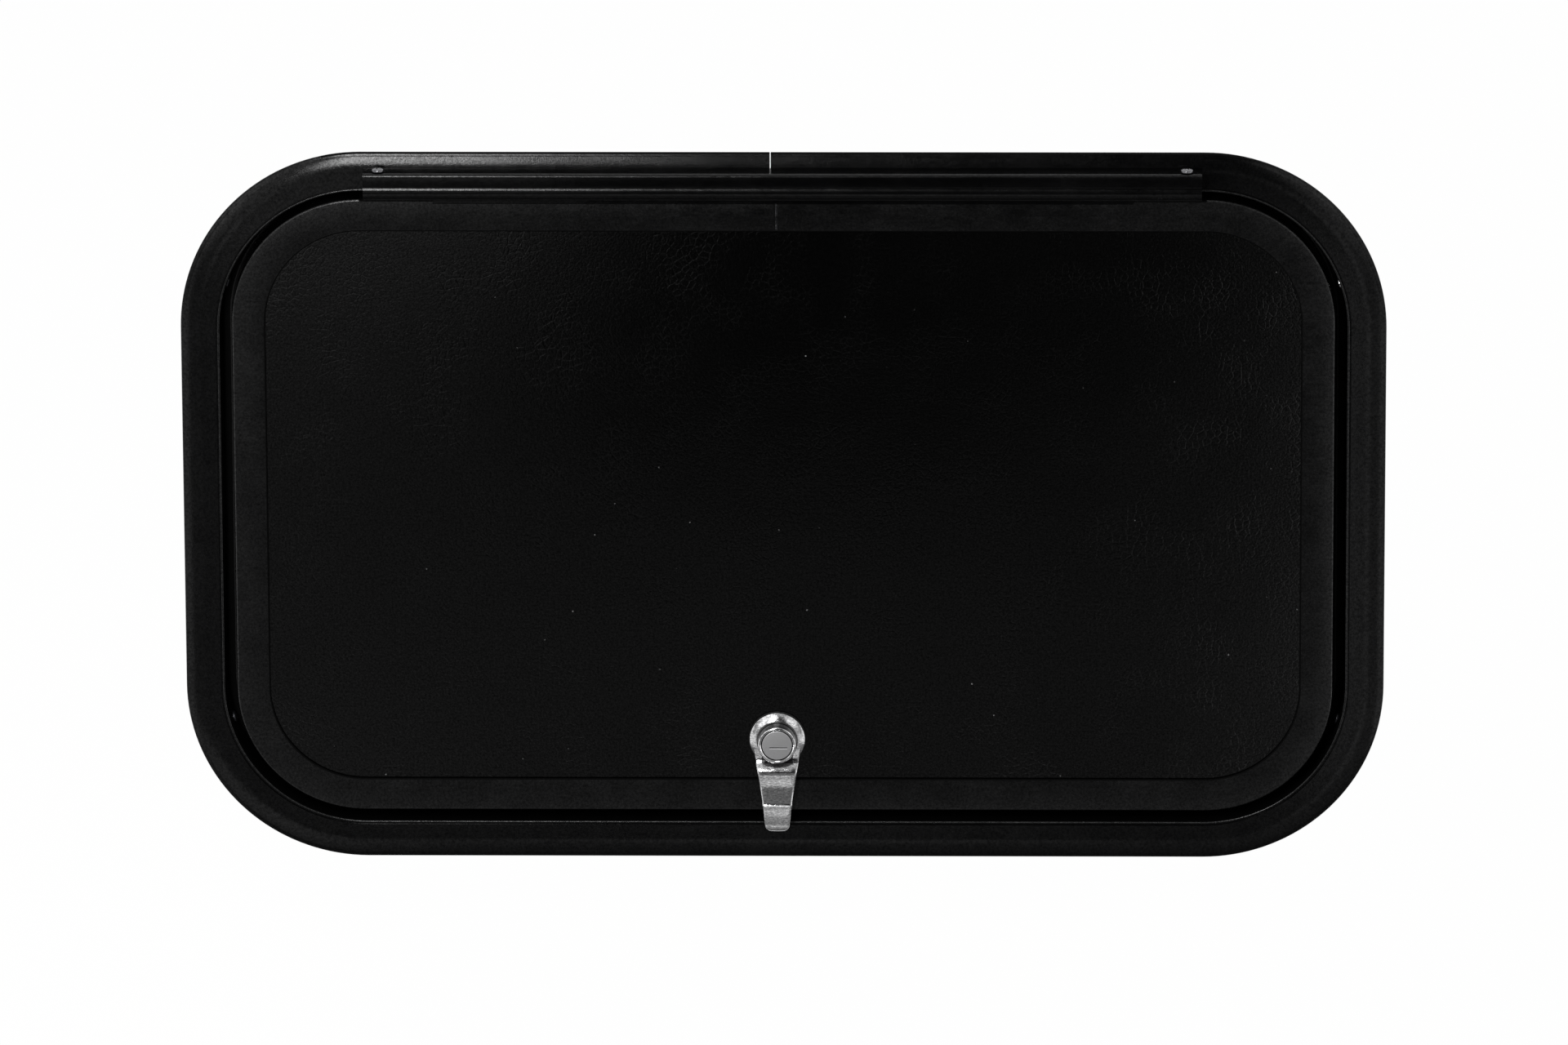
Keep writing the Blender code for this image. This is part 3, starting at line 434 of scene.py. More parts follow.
def tinted(tree, shader, factor, dark, light):
    """Feeds the shader's colour from dark to light by a factor."""
    mix = tree.nodes.new("ShaderNodeMix")
    mix.data_type = "RGBA"
    mix.inputs["A"].default_value = (*dark, 1)
    mix.inputs["B"].default_value = (*light, 1)
    tree.links.new(factor, mix.inputs["Factor"])
    tree.links.new(mix.outputs["Result"], shader.inputs["Base Color"])


def roughened(tree, shader, factor, low, high, start=0.0, end=1.0):
    """Feeds the shader's roughness from low to high by a factor."""
    tree.links.new(between(tree, factor, low, high, start, end), shader.inputs["Roughness"])


def raised(tree, height, distance, strength=1.0, under=None):
    """A bump from a height, on top of another bump."""
    node = tree.nodes.new("ShaderNodeBump")
    node.inputs["Distance"].default_value = distance
    node.inputs["Strength"].default_value = strength
    tree.links.new(height, node.inputs["Height"])
    if under:
        tree.links.new(under, node.inputs["Normal"])
    return node.outputs["Normal"]


def black_coat(name, smooth, rough, specular):
    """Satin black coat with a fine tooth, wiped streaks, rubbed patches and stray dust."""
    finish, tree, shader = new_finish(name, COAT_BLACK, (smooth + rough) / 2, 0.0, specular)
    rubbed = noise(tree, Scale=38.0, Detail=6.0, Roughness=0.62)
    dust = texture(tree, "ShaderNodeTexVoronoi", Scale=150.0)
    speck = between(tree, dust.outputs["Distance"], 1.0, 0.0, 0.012, 0.05)
    patches = between(tree, rubbed, 0.0, 0.5, 0.42, 0.75)
    tinted(tree, shader, joined(tree, "MAXIMUM", patches, speck), COAT_BLACK, COAT_WORN)
    wiped = noise(tree, (1, 1, 3.5), Scale=120.0, Detail=5.0, Roughness=0.7)
    wear = joined(tree, "ADD", rubbed, wiped)
    roughened(tree, shader, wear, smooth, rough, 0.75, 1.25)
    speckle = noise(tree, Scale=640.0, Detail=3.0, Roughness=0.7)
    sheen = between(tree, speckle, 0.5 * specular, 1.5 * specular, 0.32, 0.66)
    tree.links.new(sheen, shader.inputs["Specular IOR Level"])
    tooth = noise(tree, Scale=1400.0, Detail=3.0)
    tree.links.new(raised(tree, tooth, 0.00006, 0.5), shader.inputs["Normal"])
    return finish


COAT = black_coat("black_coat_fine", 0.11, 0.17, 0.16)


def cut_metal(name, dark, light):
    """Bare sawn metal with streaks from the blade."""
    finish, tree, shader = new_finish(name, light, 0.34, 1.0, 0.5)
    saw = noise(tree, (1, 40, 4), Scale=120.0, Detail=4.0)
    tinted(tree, shader, between(tree, saw, 0.0, 1.0, 0.4, 0.6), dark, light)
    roughened(tree, shader, saw, 0.22, 0.5)
    return finish


BARE = cut_metal("bare_cut", (0.40, 0.40, 0.41), (0.78, 0.78, 0.79))

leg_inset = FLANGE_WIDTH + BEAD_WIDTH
leg_outer = leg_inset - LEG_WALL
lip_inset = leg_inset + LIP_REACH
lip_face_y = LEG_DEPTH - LIP_WALL
groove_start = FLANGE_WIDTH - GROOVE_WIDTH
crown_rise = FLANGE_HEIGHT - FLANGE_FALL - FLANGE_EDGE
CROWN_STEPS = 12
crown_shares = [step / CROWN_STEPS for step in range(2, CROWN_STEPS + 1)]
frame_outline = [
    (0.0, 0.0),
    *arc(FLANGE_EDGE_ROUND, FLANGE_EDGE_ROUND - FLANGE_EDGE, FLANGE_EDGE_ROUND, 180, 270, 6),
    *[(share * FLANGE_CREASE, -FLANGE_EDGE - crown_rise * (1 - (1 - share) ** 2)) for share in crown_shares],
    (groove_start, -FLANGE_HEIGHT),
    (groove_start, -FLANGE_HEIGHT + GROOVE_DEPTH),
    (FLANGE_WIDTH, -FLANGE_HEIGHT + GROOVE_DEPTH),
    *arc(FLANGE_WIDTH + BEAD_WIDTH / 2, -FLANGE_HEIGHT + BEAD_WIDTH / 2, BEAD_WIDTH / 2, -180, 0, 10),
    *arc(leg_inset + LIP_WALL, lip_face_y - LIP_WALL, LIP_WALL, 180, 90, 5),
    *arc(lip_inset - LIP_WALL / 2, lip_face_y + LIP_WALL / 2, LIP_WALL / 2, -90, 90, 8),
    *arc(leg_outer + LEG_WALL / 2, LEG_DEPTH - LEG_WALL / 2, LEG_WALL / 2, 90, 180, 4),
    (leg_outer, 0.0),
]
frame_shape = bent_bar(frame_outline, FRAME_WIDTH, FRAME_HEIGHT, FRAME_CORNER, seam_x=FRAME_SEAM_X)
# Painted shade: a near-black matt coat for the frame's inside and its top outer edge, where shade falls.
FRAME_SHADE, frame_shade_tree, frame_shade_shader = new_finish("frame_painted_shade", (0.0006, 0.0006, 0.0006), 0.6, 0.0, 0.06)
thin = noise(frame_shade_tree, Scale=300.0, Detail=4.0)
roughened(frame_shade_tree, frame_shade_shader, thin, 0.5, 0.75)
EDGE_COAT = black_coat("edge_coat_fine", 0.20, 0.32, 0.30)


def inset_at(point, width, height, radius, middle=0.0):
    """How far a point lies inside the outline of a bent bar."""
    past_side = max(abs(point.x) - (width / 2 - radius), 0)
    past_rise = max(abs(point.z - middle) - (height / 2 - radius), 0)
    return radius - Vector((past_side, past_rise)).length


# the inside of the frame and its top outer edge take a near-black matt coat as painted shade, and its bead is
# duller than the flange
for face in frame_shape.faces:
    middle = face.calc_center_median()
    inset = inset_at(middle, FRAME_WIDTH, FRAME_HEIGHT, FRAME_CORNER)
    top_edge = inset < FLANGE_EDGE_ROUND and middle.z > FRAME_HEIGHT / 2 - TOP_EDGE_DROP
    if face.material_index == 0 and (middle.y > BEAD_WIDTH or top_edge):
        face.material_index = 2
    elif middle.y < BEAD_WIDTH - FLANGE_HEIGHT and inset > FLANGE_WIDTH:
        face.material_index = 3
piece("bent_frame", frame_shape, [COAT, BARE, FRAME_SHADE, EDGE_COAT], "frame", ["frame_extrusion"])

# Joiner: a folded strip of mill aluminium pressed over the frame's leg behind the butt seam.
# Nobody sees it once the hatch is in its wall.
MILL, mill_tree, mill_shader = new_finish("mill_aluminium_fine", (0.60, 0.61, 0.62), 0.4, 1.0, 0.5)
drawn = noise(mill_tree, (2, 60, 60), Scale=22.0, Detail=5.0)
tinted(mill_tree, mill_shader, drawn, (0.50, 0.51, 0.52), (0.68, 0.69, 0.70))
roughened(mill_tree, mill_shader, drawn, 0.28, 0.52)
mill_tree.links.new(raised(mill_tree, drawn, 0.00003, 0.6), mill_shader.inputs["Normal"])


def softened(name, node, finish, body, edge=0.00015, segments=2, crease=32.0):
    """A merged copy of a solid whose sharp edges are lightly broken."""
    shape = bmesh.new()
    shape.from_mesh(frame["nodes"][node].data)
    bmesh.ops.remove_doubles(shape, verts=shape.verts, dist=1e-6)
    flat = math.radians(1.0)
    bmesh.ops.dissolve_limit(shape, angle_limit=flat, verts=shape.verts, edges=shape.edges)
    sharp = [
        edge_line for edge_line in shape.edges
        if len(edge_line.link_faces) == 2 and edge_line.calc_face_angle() > math.radians(crease)
    ]
    broken(shape, sharp, edge, segments)
    piece(name, shape, [finish], body, [node], crease)


softened("frame_joiner_strip", "frame_joiner", MILL, "frame")

# Seal: a black rubber bulb on a flat base, stuck all round the front of the frame's lip.
# The shut lid presses its back against the bulb.
RUBBER, rubber_tree, rubber_shader = new_finish("rubber_fine", (0.007, 0.007, 0.007), 0.72, 0.0, 0.2)
bloom = noise(rubber_tree, Scale=90.0, Detail=5.0)
tinted(rubber_tree, rubber_shader, bloom, (0.005, 0.005, 0.005), (0.014, 0.014, 0.014))
roughened(rubber_tree, rubber_shader, bloom, 0.6, 0.85)
pores = noise(rubber_tree, Scale=1800.0, Detail=2.0)
rubber_tree.links.new(raised(rubber_tree, pores, 0.00004, 0.5), rubber_shader.inputs["Normal"])
seal_low, seal_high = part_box("lid_seal")
SEAL_WIDTH = 0.0090
SEAL_BASE = 0.0016
SEAL_BULB = 0.0076
seal_outer = lip_inset - LIP_WALL / 2 - SEAL_WIDTH
base_front = seal_high.y - SEAL_BASE
bulb = [
    (seal_outer + (SEAL_WIDTH + SEAL_BULB * across) / 2, base_front - (base_front - seal_low.y) * up)
    for across, up in arc(0, 0, 1, 180, 0, 20)
]
seal_outline = [
    (seal_outer, seal_high.y),
    (seal_outer, base_front),
    *bulb,
    (seal_outer + SEAL_WIDTH, base_front),
    (seal_outer + SEAL_WIDTH, seal_high.y),
]
seal_shape = bent_bar(seal_outline, FRAME_WIDTH, FRAME_HEIGHT, FRAME_CORNER)
piece("bulb_seal", seal_shape, [RUBBER], "frame", ["lid_seal"])

# Fixed hinge bar: a coated extrusion bonded to the flange, with a flat ledge on top,
# a hollow behind its face and a round socket, open below, that the lid's bead turns in.
bar_low, bar_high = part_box("hinge_fixed_bar")


def joint_place(name):
    """A point on the axis that a joint turns about."""
    return Vector(next(joint["pos_m"] for joint in frame["joints"] if joint["name"] == name))


HINGE_AXIS = joint_place("lid_hinge")
HINGE_LENGTH = bar_high.x - bar_low.x
HINGE_BEAD = 0.0057
SOCKET_WALL = 0.0014
LEDGE_ROUND = 0.0020
CHAMBER_WALL = 0.0018
SOCKET_FRONT_LIP = 150.0
SOCKET_BACK_LIP = -48.0
SOCKET_BACK_START = -14.0
CHAMBER_ARC = (52.0, 128.0)
socket = HINGE_BEAD + FIT
socket_outer = socket + SOCKET_WALL
bar_back = bar_high.y - HINGE_AXIS.y
ledge = bar_high.z - HINGE_AXIS.z
lip_z = socket * math.sin(math.radians(SOCKET_FRONT_LIP))
lip_round = 0.55 * SOCKET_WALL


def long_bar(outline, length, hollow=None):
    """An extrusion along X on the hinge's axis, with a hollow through it; outline points are (y, z)."""
    shape = bmesh.new()
    loops = []
    for points in [outline, hollow] if hollow else [outline]:
        first = wire(shape, [(-length / 2, HINGE_AXIS.y + y, HINGE_AXIS.z + z) for y, z in points])
        loops.append((first, run_on(shape, first, (length, 0, 0))))
    for end in zip(*loops):
        rims = [edge for rim in end for edge in rim]
        bmesh.ops.triangle_fill(shape, edges=rims, use_beauty=True)
    return shape


fixed_outline = [
    *arc(-socket_outer + lip_round, lip_z + lip_round, lip_round, 270, 180, 4),
    *arc(-socket_outer + LEDGE_ROUND, ledge - LEDGE_ROUND, LEDGE_ROUND, 180, 90, 12),
    (bar_back, ledge),
    (bar_back, 0.0),
    *arc(0, 0, bar_back, SOCKET_BACK_START, SOCKET_BACK_LIP, 8),
    *arc(0, 0, socket, SOCKET_BACK_LIP, SOCKET_FRONT_LIP, 40),
]
chamber_top = ledge - CHAMBER_WALL
chamber_outline = [
    *arc(0, 0, socket_outer, *CHAMBER_ARC, 12),
    (-socket_outer + CHAMBER_WALL, chamber_top - LEDGE_ROUND / 2),
    (-socket_outer + CHAMBER_WALL + LEDGE_ROUND / 2, chamber_top),
    (bar_back - CHAMBER_WALL, chamber_top),
]
fixed_shape = long_bar(fixed_outline, HINGE_LENGTH, chamber_outline)
HINGE_COAT = black_coat("hinge_coat_fine", 0.12, 0.20, 0.18)
piece("hinge_socket_bar", fixed_shape, [HINGE_COAT], "frame", ["hinge_fixed_bar"])

# Hinge screws: two steel pan heads with a cross recess, driven down through the ledge.
# They lock the fixed bar near both its ends.
TOE_HEAD = 0.00385
TOE_CROWN = 0.0024
TOE_SHANK = 0.0019
SCREW_STEPS = 40
SCREW_CREASE = 25.0
PAN_RIM = 0.45
PAN_EDGE = 0.12
CROSS_REACH = 0.62
CROSS_HALF = 0.13
CROSS_ABOVE = 0.3
CROSS_DEPTH = 0.75
CROSS_TAPER = 0.45
CROSS_SHADE = 0.00015
UPRIGHT = Matrix.Rotation(-math.pi / 2, 4, "X")


def turned_steel(name, dark, light):
    """Steel mottled between two greys."""
    finish, tree, shader = new_finish(name, light, 0.28, 1.0, 0.5)
    turning = noise(tree, Scale=900.0, Detail=4.0)
    tinted(tree, shader, turning, dark, light)
    roughened(tree, shader, turning, 0.12, 0.34)
    tree.links.new(raised(tree, turning, 0.00002, 0.6), shader.inputs["Normal"])
    return finish


def turned(profile, steps=64):
    """A solid of revolution about Y; profile points are (radius, y), and a closed profile makes a ring."""
    shape = bmesh.new()
    corners = [shape.verts.new((radius, y, 0)) for radius, y in profile]
    edges = [shape.edges.new(pair) for pair in zip(corners, corners[1:])]
    if min(radius for radius, _ in profile) > 0:
        edges.append(shape.edges.new((corners[-1], corners[0])))
    circle = 2 * math.pi
    bmesh.ops.spin(
        shape, geom=corners + edges, cent=(0, 0, 0), axis=(0, 1, 0), angle=circle, steps=steps, use_merge=True
    )
    bmesh.ops.remove_doubles(shape, verts=shape.verts, dist=1e-7)
    return shape


def put(shape, turn, place):
    """Turns a shape about the origin, then moves it to its place."""
    bmesh.ops.transform(shape, matrix=Matrix.Translation(place) @ turn, verts=shape.verts)
    return shape


def combined(shape, other, operation):
    """One mesh from two closed ones, by a Boolean; gives a bmesh."""
    pair = []
    for part in (shape, other):
        bmesh.ops.recalc_face_normals(part, faces=part.faces)
        holder = bpy.data.objects.new("blank", bpy.data.meshes.new("blank"))
        part.to_mesh(holder.data)
        part.free()
        bpy.context.scene.collection.objects.link(holder)
        pair.append(holder)
    step = pair[0].modifiers.new("step", "BOOLEAN")
    step.operation = operation
    step.object = pair[1]
    view = bpy.context.evaluated_depsgraph_get()
    result = bmesh.new()
    result.from_object(pair[0], view)
    for holder in pair:
        mesh = holder.data
        bpy.data.objects.remove(holder)
        bpy.data.meshes.remove(mesh)
    return result


def cross_screw(head, crown, shank, length):
    """A pan-head screw along Y, its crossed recess facing -Y."""
    rim = PAN_RIM * crown
    edge = PAN_EDGE * head
    dome = [(head * across, -rim - (crown - rim) * up) for across, up in arc(0, 0, 1, 90, 12, 9)]
    profile = [
        (0, -crown), *dome[1:], (head, -rim), (head, -edge), (head - edge, 0),
        (shank, 0), (shank, length - shank), (0, length),
    ]
    blank = turned(profile, SCREW_STEPS)
    reach, half = CROSS_REACH * head, CROSS_HALF * head
    quarter = [(reach, -half), (reach, half), (half, half)]
    outline = [
        (x * math.cos(turn) - z * math.sin(turn), x * math.sin(turn) + z * math.cos(turn))
        for turn in (0, math.pi / 2, math.pi, 3 * math.pi / 2)
        for x, z in quarter
    ]
    cross = bmesh.new()
    mouth = wire(cross, [(x, -crown * (1 + CROSS_ABOVE), z) for x, z in outline])
    floor_loop = run_on(cross, mouth, (0, crown * (CROSS_ABOVE + CROSS_DEPTH), 0))
    floor_corners = list({end for edge_line in floor_loop for end in edge_line.verts})
    bmesh.ops.scale(cross, verts=floor_corners, vec=(CROSS_TAPER, 1, CROSS_TAPER))
    bmesh.ops.edgeloop_fill(cross, edges=mouth)
    bmesh.ops.edgeloop_fill(cross, edges=floor_loop)
    made = combined(blank, cross, "DIFFERENCE")
    # faces inside the cross recess take the second finish, a painted shade
    for face in made.faces:
        middle = face.calc_center_median()
        out = math.hypot(middle.x, middle.z) / head
        if out < CROSS_REACH + CROSS_HALF:
            dome_y = -rim - (crown - rim) * math.sqrt(1 - out**2)
            if dome_y + CROSS_SHADE < middle.y < 0:
                face.material_index = 1
    return made


# Painted shade: the hinge screws get a darker copy of the turned steel, which holds back the lamps' glare on
# them.
SHADE_DARKENED_STEEL = turned_steel("shade_darkened_steel", (0.08, 0.08, 0.085), (0.26, 0.26, 0.27))
# Painted shade for the cross recesses: near-black, mottled at random.
RECESS, recess_tree, recess_shader = new_finish("recess_shade", (0.010, 0.010, 0.011), 0.5, 0.6, 0.3)
recess_shade_mottle = noise(recess_tree, Scale=1500.0, Detail=3.0)
tinted(recess_tree, recess_shader, recess_shade_mottle, (0.004, 0.004, 0.005), (0.020, 0.020, 0.022))
for side, twist in (("left", 20.0), ("right", 52.0)):
    low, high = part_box(f"hinge_screw_{side}")
    seat = Vector(((low.x + high.x) / 2, (low.y + high.y) / 2, high.z - TOE_CROWN))
    screw = cross_screw(TOE_HEAD, TOE_CROWN, TOE_SHANK, seat.z - low.z)
    put(screw, UPRIGHT @ Matrix.Rotation(math.radians(twist), 4, "Y"), seat)
    finishes = [SHADE_DARKENED_STEEL, RECESS]
    piece(f"ledge_screw_{side}", screw, finishes, "frame", [f"hinge_screw_{side}"], SCREW_CREASE)

# Leg screws: the same pan heads, driven outwards through the frame's legs where the bends begin.
# One is bright and glints in the dark gap at the upper right; the others are blackened.
LEG_HEAD = 0.0035
LEG_CROWN = 0.0021
LEG_SHANK = 0.0019
LEG_LENGTH = 0.0120
LEG_SCREW_TURN = math.radians(16.875)
STEEL = turned_steel("bright_steel", (0.40, 0.40, 0.41), (0.70, 0.70, 0.71))
ZINC, zinc_tree, zinc_shader = new_finish("black_zinc_fine", (0.03, 0.03, 0.033), 0.36, 0.85, 0.5)
passivate = noise(zinc_tree, Scale=260.0, Detail=5.0)
tinted(zinc_tree, zinc_shader, passivate, (0.018, 0.018, 0.021), (0.06, 0.06, 0.066))
roughened(zinc_tree, zinc_shader, passivate, 0.26, 0.5)
leg_reach = FRAME_CORNER - leg_inset - FIT
leg_x = FRAME_WIDTH / 2 - FRAME_CORNER + leg_reach * math.cos(LEG_SCREW_TURN)
leg_z = FRAME_HEIGHT / 2 - FRAME_CORNER + leg_reach * math.sin(LEG_SCREW_TURN)
leg_y = sum(corner.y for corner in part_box("leg_screw_upper_right")) / 2
for level, rise in (("upper", 1), ("lower", -1)):
    for side, hand in (("left", -1), ("right", 1)):
        node = f"leg_screw_{level}_{side}"
        finish, slot = (STEEL, "steel") if hand + rise == 2 else (ZINC, "black_zinc")
        screw = cross_screw(LEG_HEAD, LEG_CROWN, LEG_SHANK, LEG_LENGTH)
        aside = Matrix.Rotation(-hand * math.pi / 2, 4, "Z")
        tilt = Matrix.Rotation(rise * LEG_SCREW_TURN, 4, "X")
        put(screw, aside @ tilt, (hand * leg_x, leg_y, rise * leg_z))
        piece(f"wall_screw_{level}_{side}", screw, [finish, RECESS], "frame", [node], SCREW_CREASE)

# Moving hinge bar: a coated extrusion whose hollow bead turns in the socket.
# A web comes out of the socket to a foot on the lid's top edge, with a short lip over the lid's face.
moving_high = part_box("hinge_moving_bar")[1]
trim_low, trim_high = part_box("lid_trim")
HINGE_BORE = 0.0036
WEB_ANGLE = 297.0
WEB_WALL = 0.0016
FOOT_WALL = 0.0015
WEB_BACK_RISE = 0.3 * FOOT_WALL
WEB_FRONT_DROP = 0.6 * FOOT_WALL
FOOT_LIP = 0.0028
FOOT_LIP_END = 0.0415
foot_bottom = trim_high.z + FIT - HINGE_AXIS.z
foot_top = foot_bottom + FOOT_WALL
lip_back = trim_low.y - FIT - HINGE_AXIS.y
lip_front = lip_back - FOOT_WALL
foot_back = moving_high.y - HINGE_AXIS.y
web_way = Vector((math.cos(math.radians(WEB_ANGLE)), math.sin(math.radians(WEB_ANGLE))))
web_side = Vector((-web_way.y, web_way.x)) * WEB_WALL / 2
web_reach = foot_top / web_way.y
web_spread = math.degrees(math.asin(WEB_WALL / 2 / HINGE_BEAD))
web_back = web_way * (web_reach - WEB_BACK_RISE) + web_side
web_front = web_way * (web_reach + WEB_FRONT_DROP) - web_side
moving_outline = [
    *arc(0, 0, HINGE_BEAD, WEB_ANGLE + web_spread, WEB_ANGLE + 360 - web_spread, 56),
    tuple(web_front),
    (web_front.x + FOOT_WALL / 2, foot_bottom),
    (lip_front, foot_bottom),
    (lip_front, foot_bottom - FOOT_LIP + FOOT_WALL / 3),
    (lip_front + FOOT_WALL / 3, foot_bottom - FOOT_LIP),
    (lip_back, foot_bottom - FOOT_LIP),
    (lip_back, foot_bottom),
    (foot_back, foot_bottom),
    (foot_back, foot_top),
    (web_back.x + FOOT_WALL / 2, foot_top),
]
bore_outline = arc(0, 0, HINGE_BORE, 0, 360, 30)[:-1]
moving_shape = long_bar(moving_outline, HINGE_LENGTH, bore_outline)
notch_outline = [
    (lip_front - FOOT_WALL, foot_bottom),
    (lip_front - FOOT_WALL, foot_bottom - 2 * FOOT_LIP),
    (lip_back + FOOT_WALL, foot_bottom - 2 * FOOT_LIP),
    (lip_back + FOOT_WALL, foot_bottom),
]
for hand in (-1, 1):
    notch = long_bar(notch_outline, 2 * FOOT_LIP_END)
    put(notch, Matrix(), (hand * HINGE_LENGTH / 2, 0, 0))
    moving_shape = combined(moving_shape, notch, "DIFFERENCE")
piece("hinge_bead_bar", moving_shape, [HINGE_COAT], "lid", ["hinge_moving_bar"])

# Rivets: six black domes that hold the foot of the moving bar to the lid's top edge.
# They sit under the fixed bar and show when the lid swings up.
RIVET_HEAD = 0.0032
RIVET_CROWN = 0.0011
RIVET_RIM = 0.3 * RIVET_CROWN
RIVET_SHANK = 0.0016
RIVET_STEPS = 32
RIVET_COUNT = 6
rivet_dome = [
    (RIVET_HEAD * across, -RIVET_RIM - (RIVET_CROWN - RIVET_RIM) * up)
    for across, up in arc(0, 0, 1, 90, 0, 9)
]
for number in range(1, RIVET_COUNT + 1):
    low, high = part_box(f"hinge_rivet_{number}")
    seat = Vector(((low.x + high.x) / 2, (low.y + high.y) / 2, high.z - RIVET_CROWN))
    length = seat.z - low.z
    profile = [
        (0, -RIVET_CROWN), *rivet_dome[1:], (RIVET_HEAD, 0),
        (RIVET_SHANK, 0), (RIVET_SHANK, length), (0, length),
    ]
    rivet = put(turned(profile, RIVET_STEPS), UPRIGHT, seat)
    piece(f"foot_rivet_{number}", rivet, [ZINC], "lid", [f"hinge_rivet_{number}"])

# Lid trim: a coated aluminium channel bent round the panel and butted at the top, its front edge rounded.
# A near-black matt coat paints shade along the line where it meets the panel and on the edge under the hinge.
LID_WIDTH = trim_high.x - trim_low.x
LID_HEIGHT = trim_high.z - trim_low.z
LID_MIDDLE = (trim_high.z + trim_low.z) / 2
LID_CORNER = 0.0780
LID_FACE_Y = trim_low.y
LID_BACK_Y = trim_high.y
TRIM_FACE = 0.0203
TRIM_REAR = 0.0140
TRIM_WALL = 0.0017
TRIM_EDGE_ROUND = 0.0014
TRIM_SEAM_X = -0.0039
trim_outline = [
    (TRIM_WALL, LID_FACE_Y + TRIM_WALL),
    (TRIM_FACE - TRIM_WALL / 2, LID_FACE_Y + TRIM_WALL),
    *arc(TRIM_FACE - TRIM_WALL / 2, LID_FACE_Y + TRIM_WALL / 2, TRIM_WALL / 2, 90, -90, 8)[1:],
    *arc(TRIM_EDGE_ROUND, LID_FACE_Y + TRIM_EDGE_ROUND, TRIM_EDGE_ROUND, -90, -180, 12),
    *arc(TRIM_WALL / 2, LID_BACK_Y - TRIM_WALL / 2, TRIM_WALL / 2, 180, 90, 4),
    (TRIM_REAR, LID_BACK_Y),
    (TRIM_REAR, LID_BACK_Y - TRIM_WALL),
    (TRIM_WALL, LID_BACK_Y - TRIM_WALL),
]
trim_shape = bent_bar(trim_outline, LID_WIDTH, LID_HEIGHT, LID_CORNER, LID_MIDDLE, TRIM_SEAM_X)
DULL = cut_metal("dull_cut", (0.01, 0.01, 0.01), (0.30, 0.30, 0.31))
SHADE, shade_tree, shade_shader = new_finish("trim_painted_shade", (0.0008, 0.0008, 0.0008), 0.8, 0.0, 0.05)
trim_shade_mottle = noise(shade_tree, Scale=700.0, Detail=3.0)
roughened(shade_tree, shade_shader, trim_shade_mottle, 0.6, 0.9)
# faces by the panel and along the top edge under the hinge take the painted shade
for face in trim_shape.faces:
    middle = face.calc_center_median()
    inset = inset_at(middle, LID_WIDTH, LID_HEIGHT, LID_CORNER, LID_MIDDLE)
    by_panel = inset > TRIM_FACE - TRIM_WALL / 2 and middle.y < LID_FACE_Y + TRIM_WALL
    by_hinge = abs(middle.x) < HINGE_LENGTH / 2 and middle.z > trim_high.z - TRIM_EDGE_ROUND
    if by_panel or (by_hinge and face.material_index == 0):
        face.material_index = 2
RING_COAT = black_coat("ring_coat_fine", 0.20, 0.30, 0.30)
piece("lid_ring", trim_shape, [RING_COAT, DULL, SHADE], "lid", ["lid_trim"])

# Panel: a glossy black skin with a fine leather grain outside, foam inside, bare aluminium behind.
# The three sheets are bonded and held in the channel.
SKIN, skin_tree, skin_shader = new_finish("grained_skin", (0.0006, 0.0006, 0.0006), 0.12, 0.0, 0.32)
haze = noise(skin_tree, Scale=7.0, Detail=4.0, Roughness=0.55)
skin_dust = texture(skin_tree, "ShaderNodeTexVoronoi", Scale=70.0)
skin_speck = between(skin_tree, skin_dust.outputs["Distance"], 1.0, 0.0, 0.012, 0.042)
dust_amount = skin_tree.nodes.new("ShaderNodeSeparateColor")
skin_tree.links.new(skin_dust.outputs["Color"], dust_amount.inputs[0])
speck_share = joined(skin_tree, "POWER", dust_amount.outputs[0], 3.0)
skin_speck = joined(skin_tree, "MULTIPLY", skin_speck, speck_share)
tinted(skin_tree, skin_shader, skin_speck, (0.0006, 0.0006, 0.0006), (0.22, 0.22, 0.22))
roughened(skin_tree, skin_shader, haze, 0.09, 0.16, 0.3, 0.7)
pebble = noise(skin_tree, Scale=720.0, Detail=4.0, Roughness=0.65)
crackle = texture(skin_tree, "ShaderNodeTexVoronoi", Scale=230.0)
crackle.feature = "DISTANCE_TO_EDGE"
creased = between(skin_tree, crackle.outputs["Distance"], 0.0, 1.0, 0.0, 0.12)
worked = noise(skin_tree, Scale=26.0, Detail=3.0)
amount = between(skin_tree, worked, 0.15, 1.0, 0.42, 0.62)
skin_swell = noise(skin_tree, Scale=11.0, Detail=2.0)
pitted = noise(skin_tree, Scale=760.0, Detail=3.0, Roughness=0.7)
sheen = between(skin_tree, pitted, 0.14, 0.48, 0.32, 0.66)
skin_tree.links.new(sheen, skin_shader.inputs["Specular IOR Level"])
grain = raised(skin_tree, pebble, 0.00013, 0.65)
grain = raised(skin_tree, joined(skin_tree, "MULTIPLY", creased, amount), 0.00008, 0.50, grain)
grain = raised(skin_tree, skin_swell, 0.0012, 0.3, grain)
skin_tree.links.new(grain, skin_shader.inputs["Normal"])
FOAM, foam_tree, foam_shader = new_finish("foam_fine", (0.62, 0.60, 0.52), 0.9, 0.0, 0.3)
cells = texture(foam_tree, "ShaderNodeTexVoronoi", Scale=900.0)
tinted(foam_tree, foam_shader, cells.outputs["Distance"], (0.56, 0.54, 0.45), (0.68, 0.66, 0.58))
foam_tree.links.new(raised(foam_tree, cells.outputs["Distance"], 0.0003, 0.7), foam_shader.inputs["Normal"])


def coat_node(node, finish):
    """Gives a solid that keeps its shape a better finish."""
    mesh = frame["nodes"][node].data
    mesh.materials.clear()
    mesh.materials.append(finish)


coat_node("lid_outer_skin", SKIN)
coat_node("lid_core", FOAM)
coat_node("lid_inner_skin", MILL)
coat_node("trim_joiner", MILL)

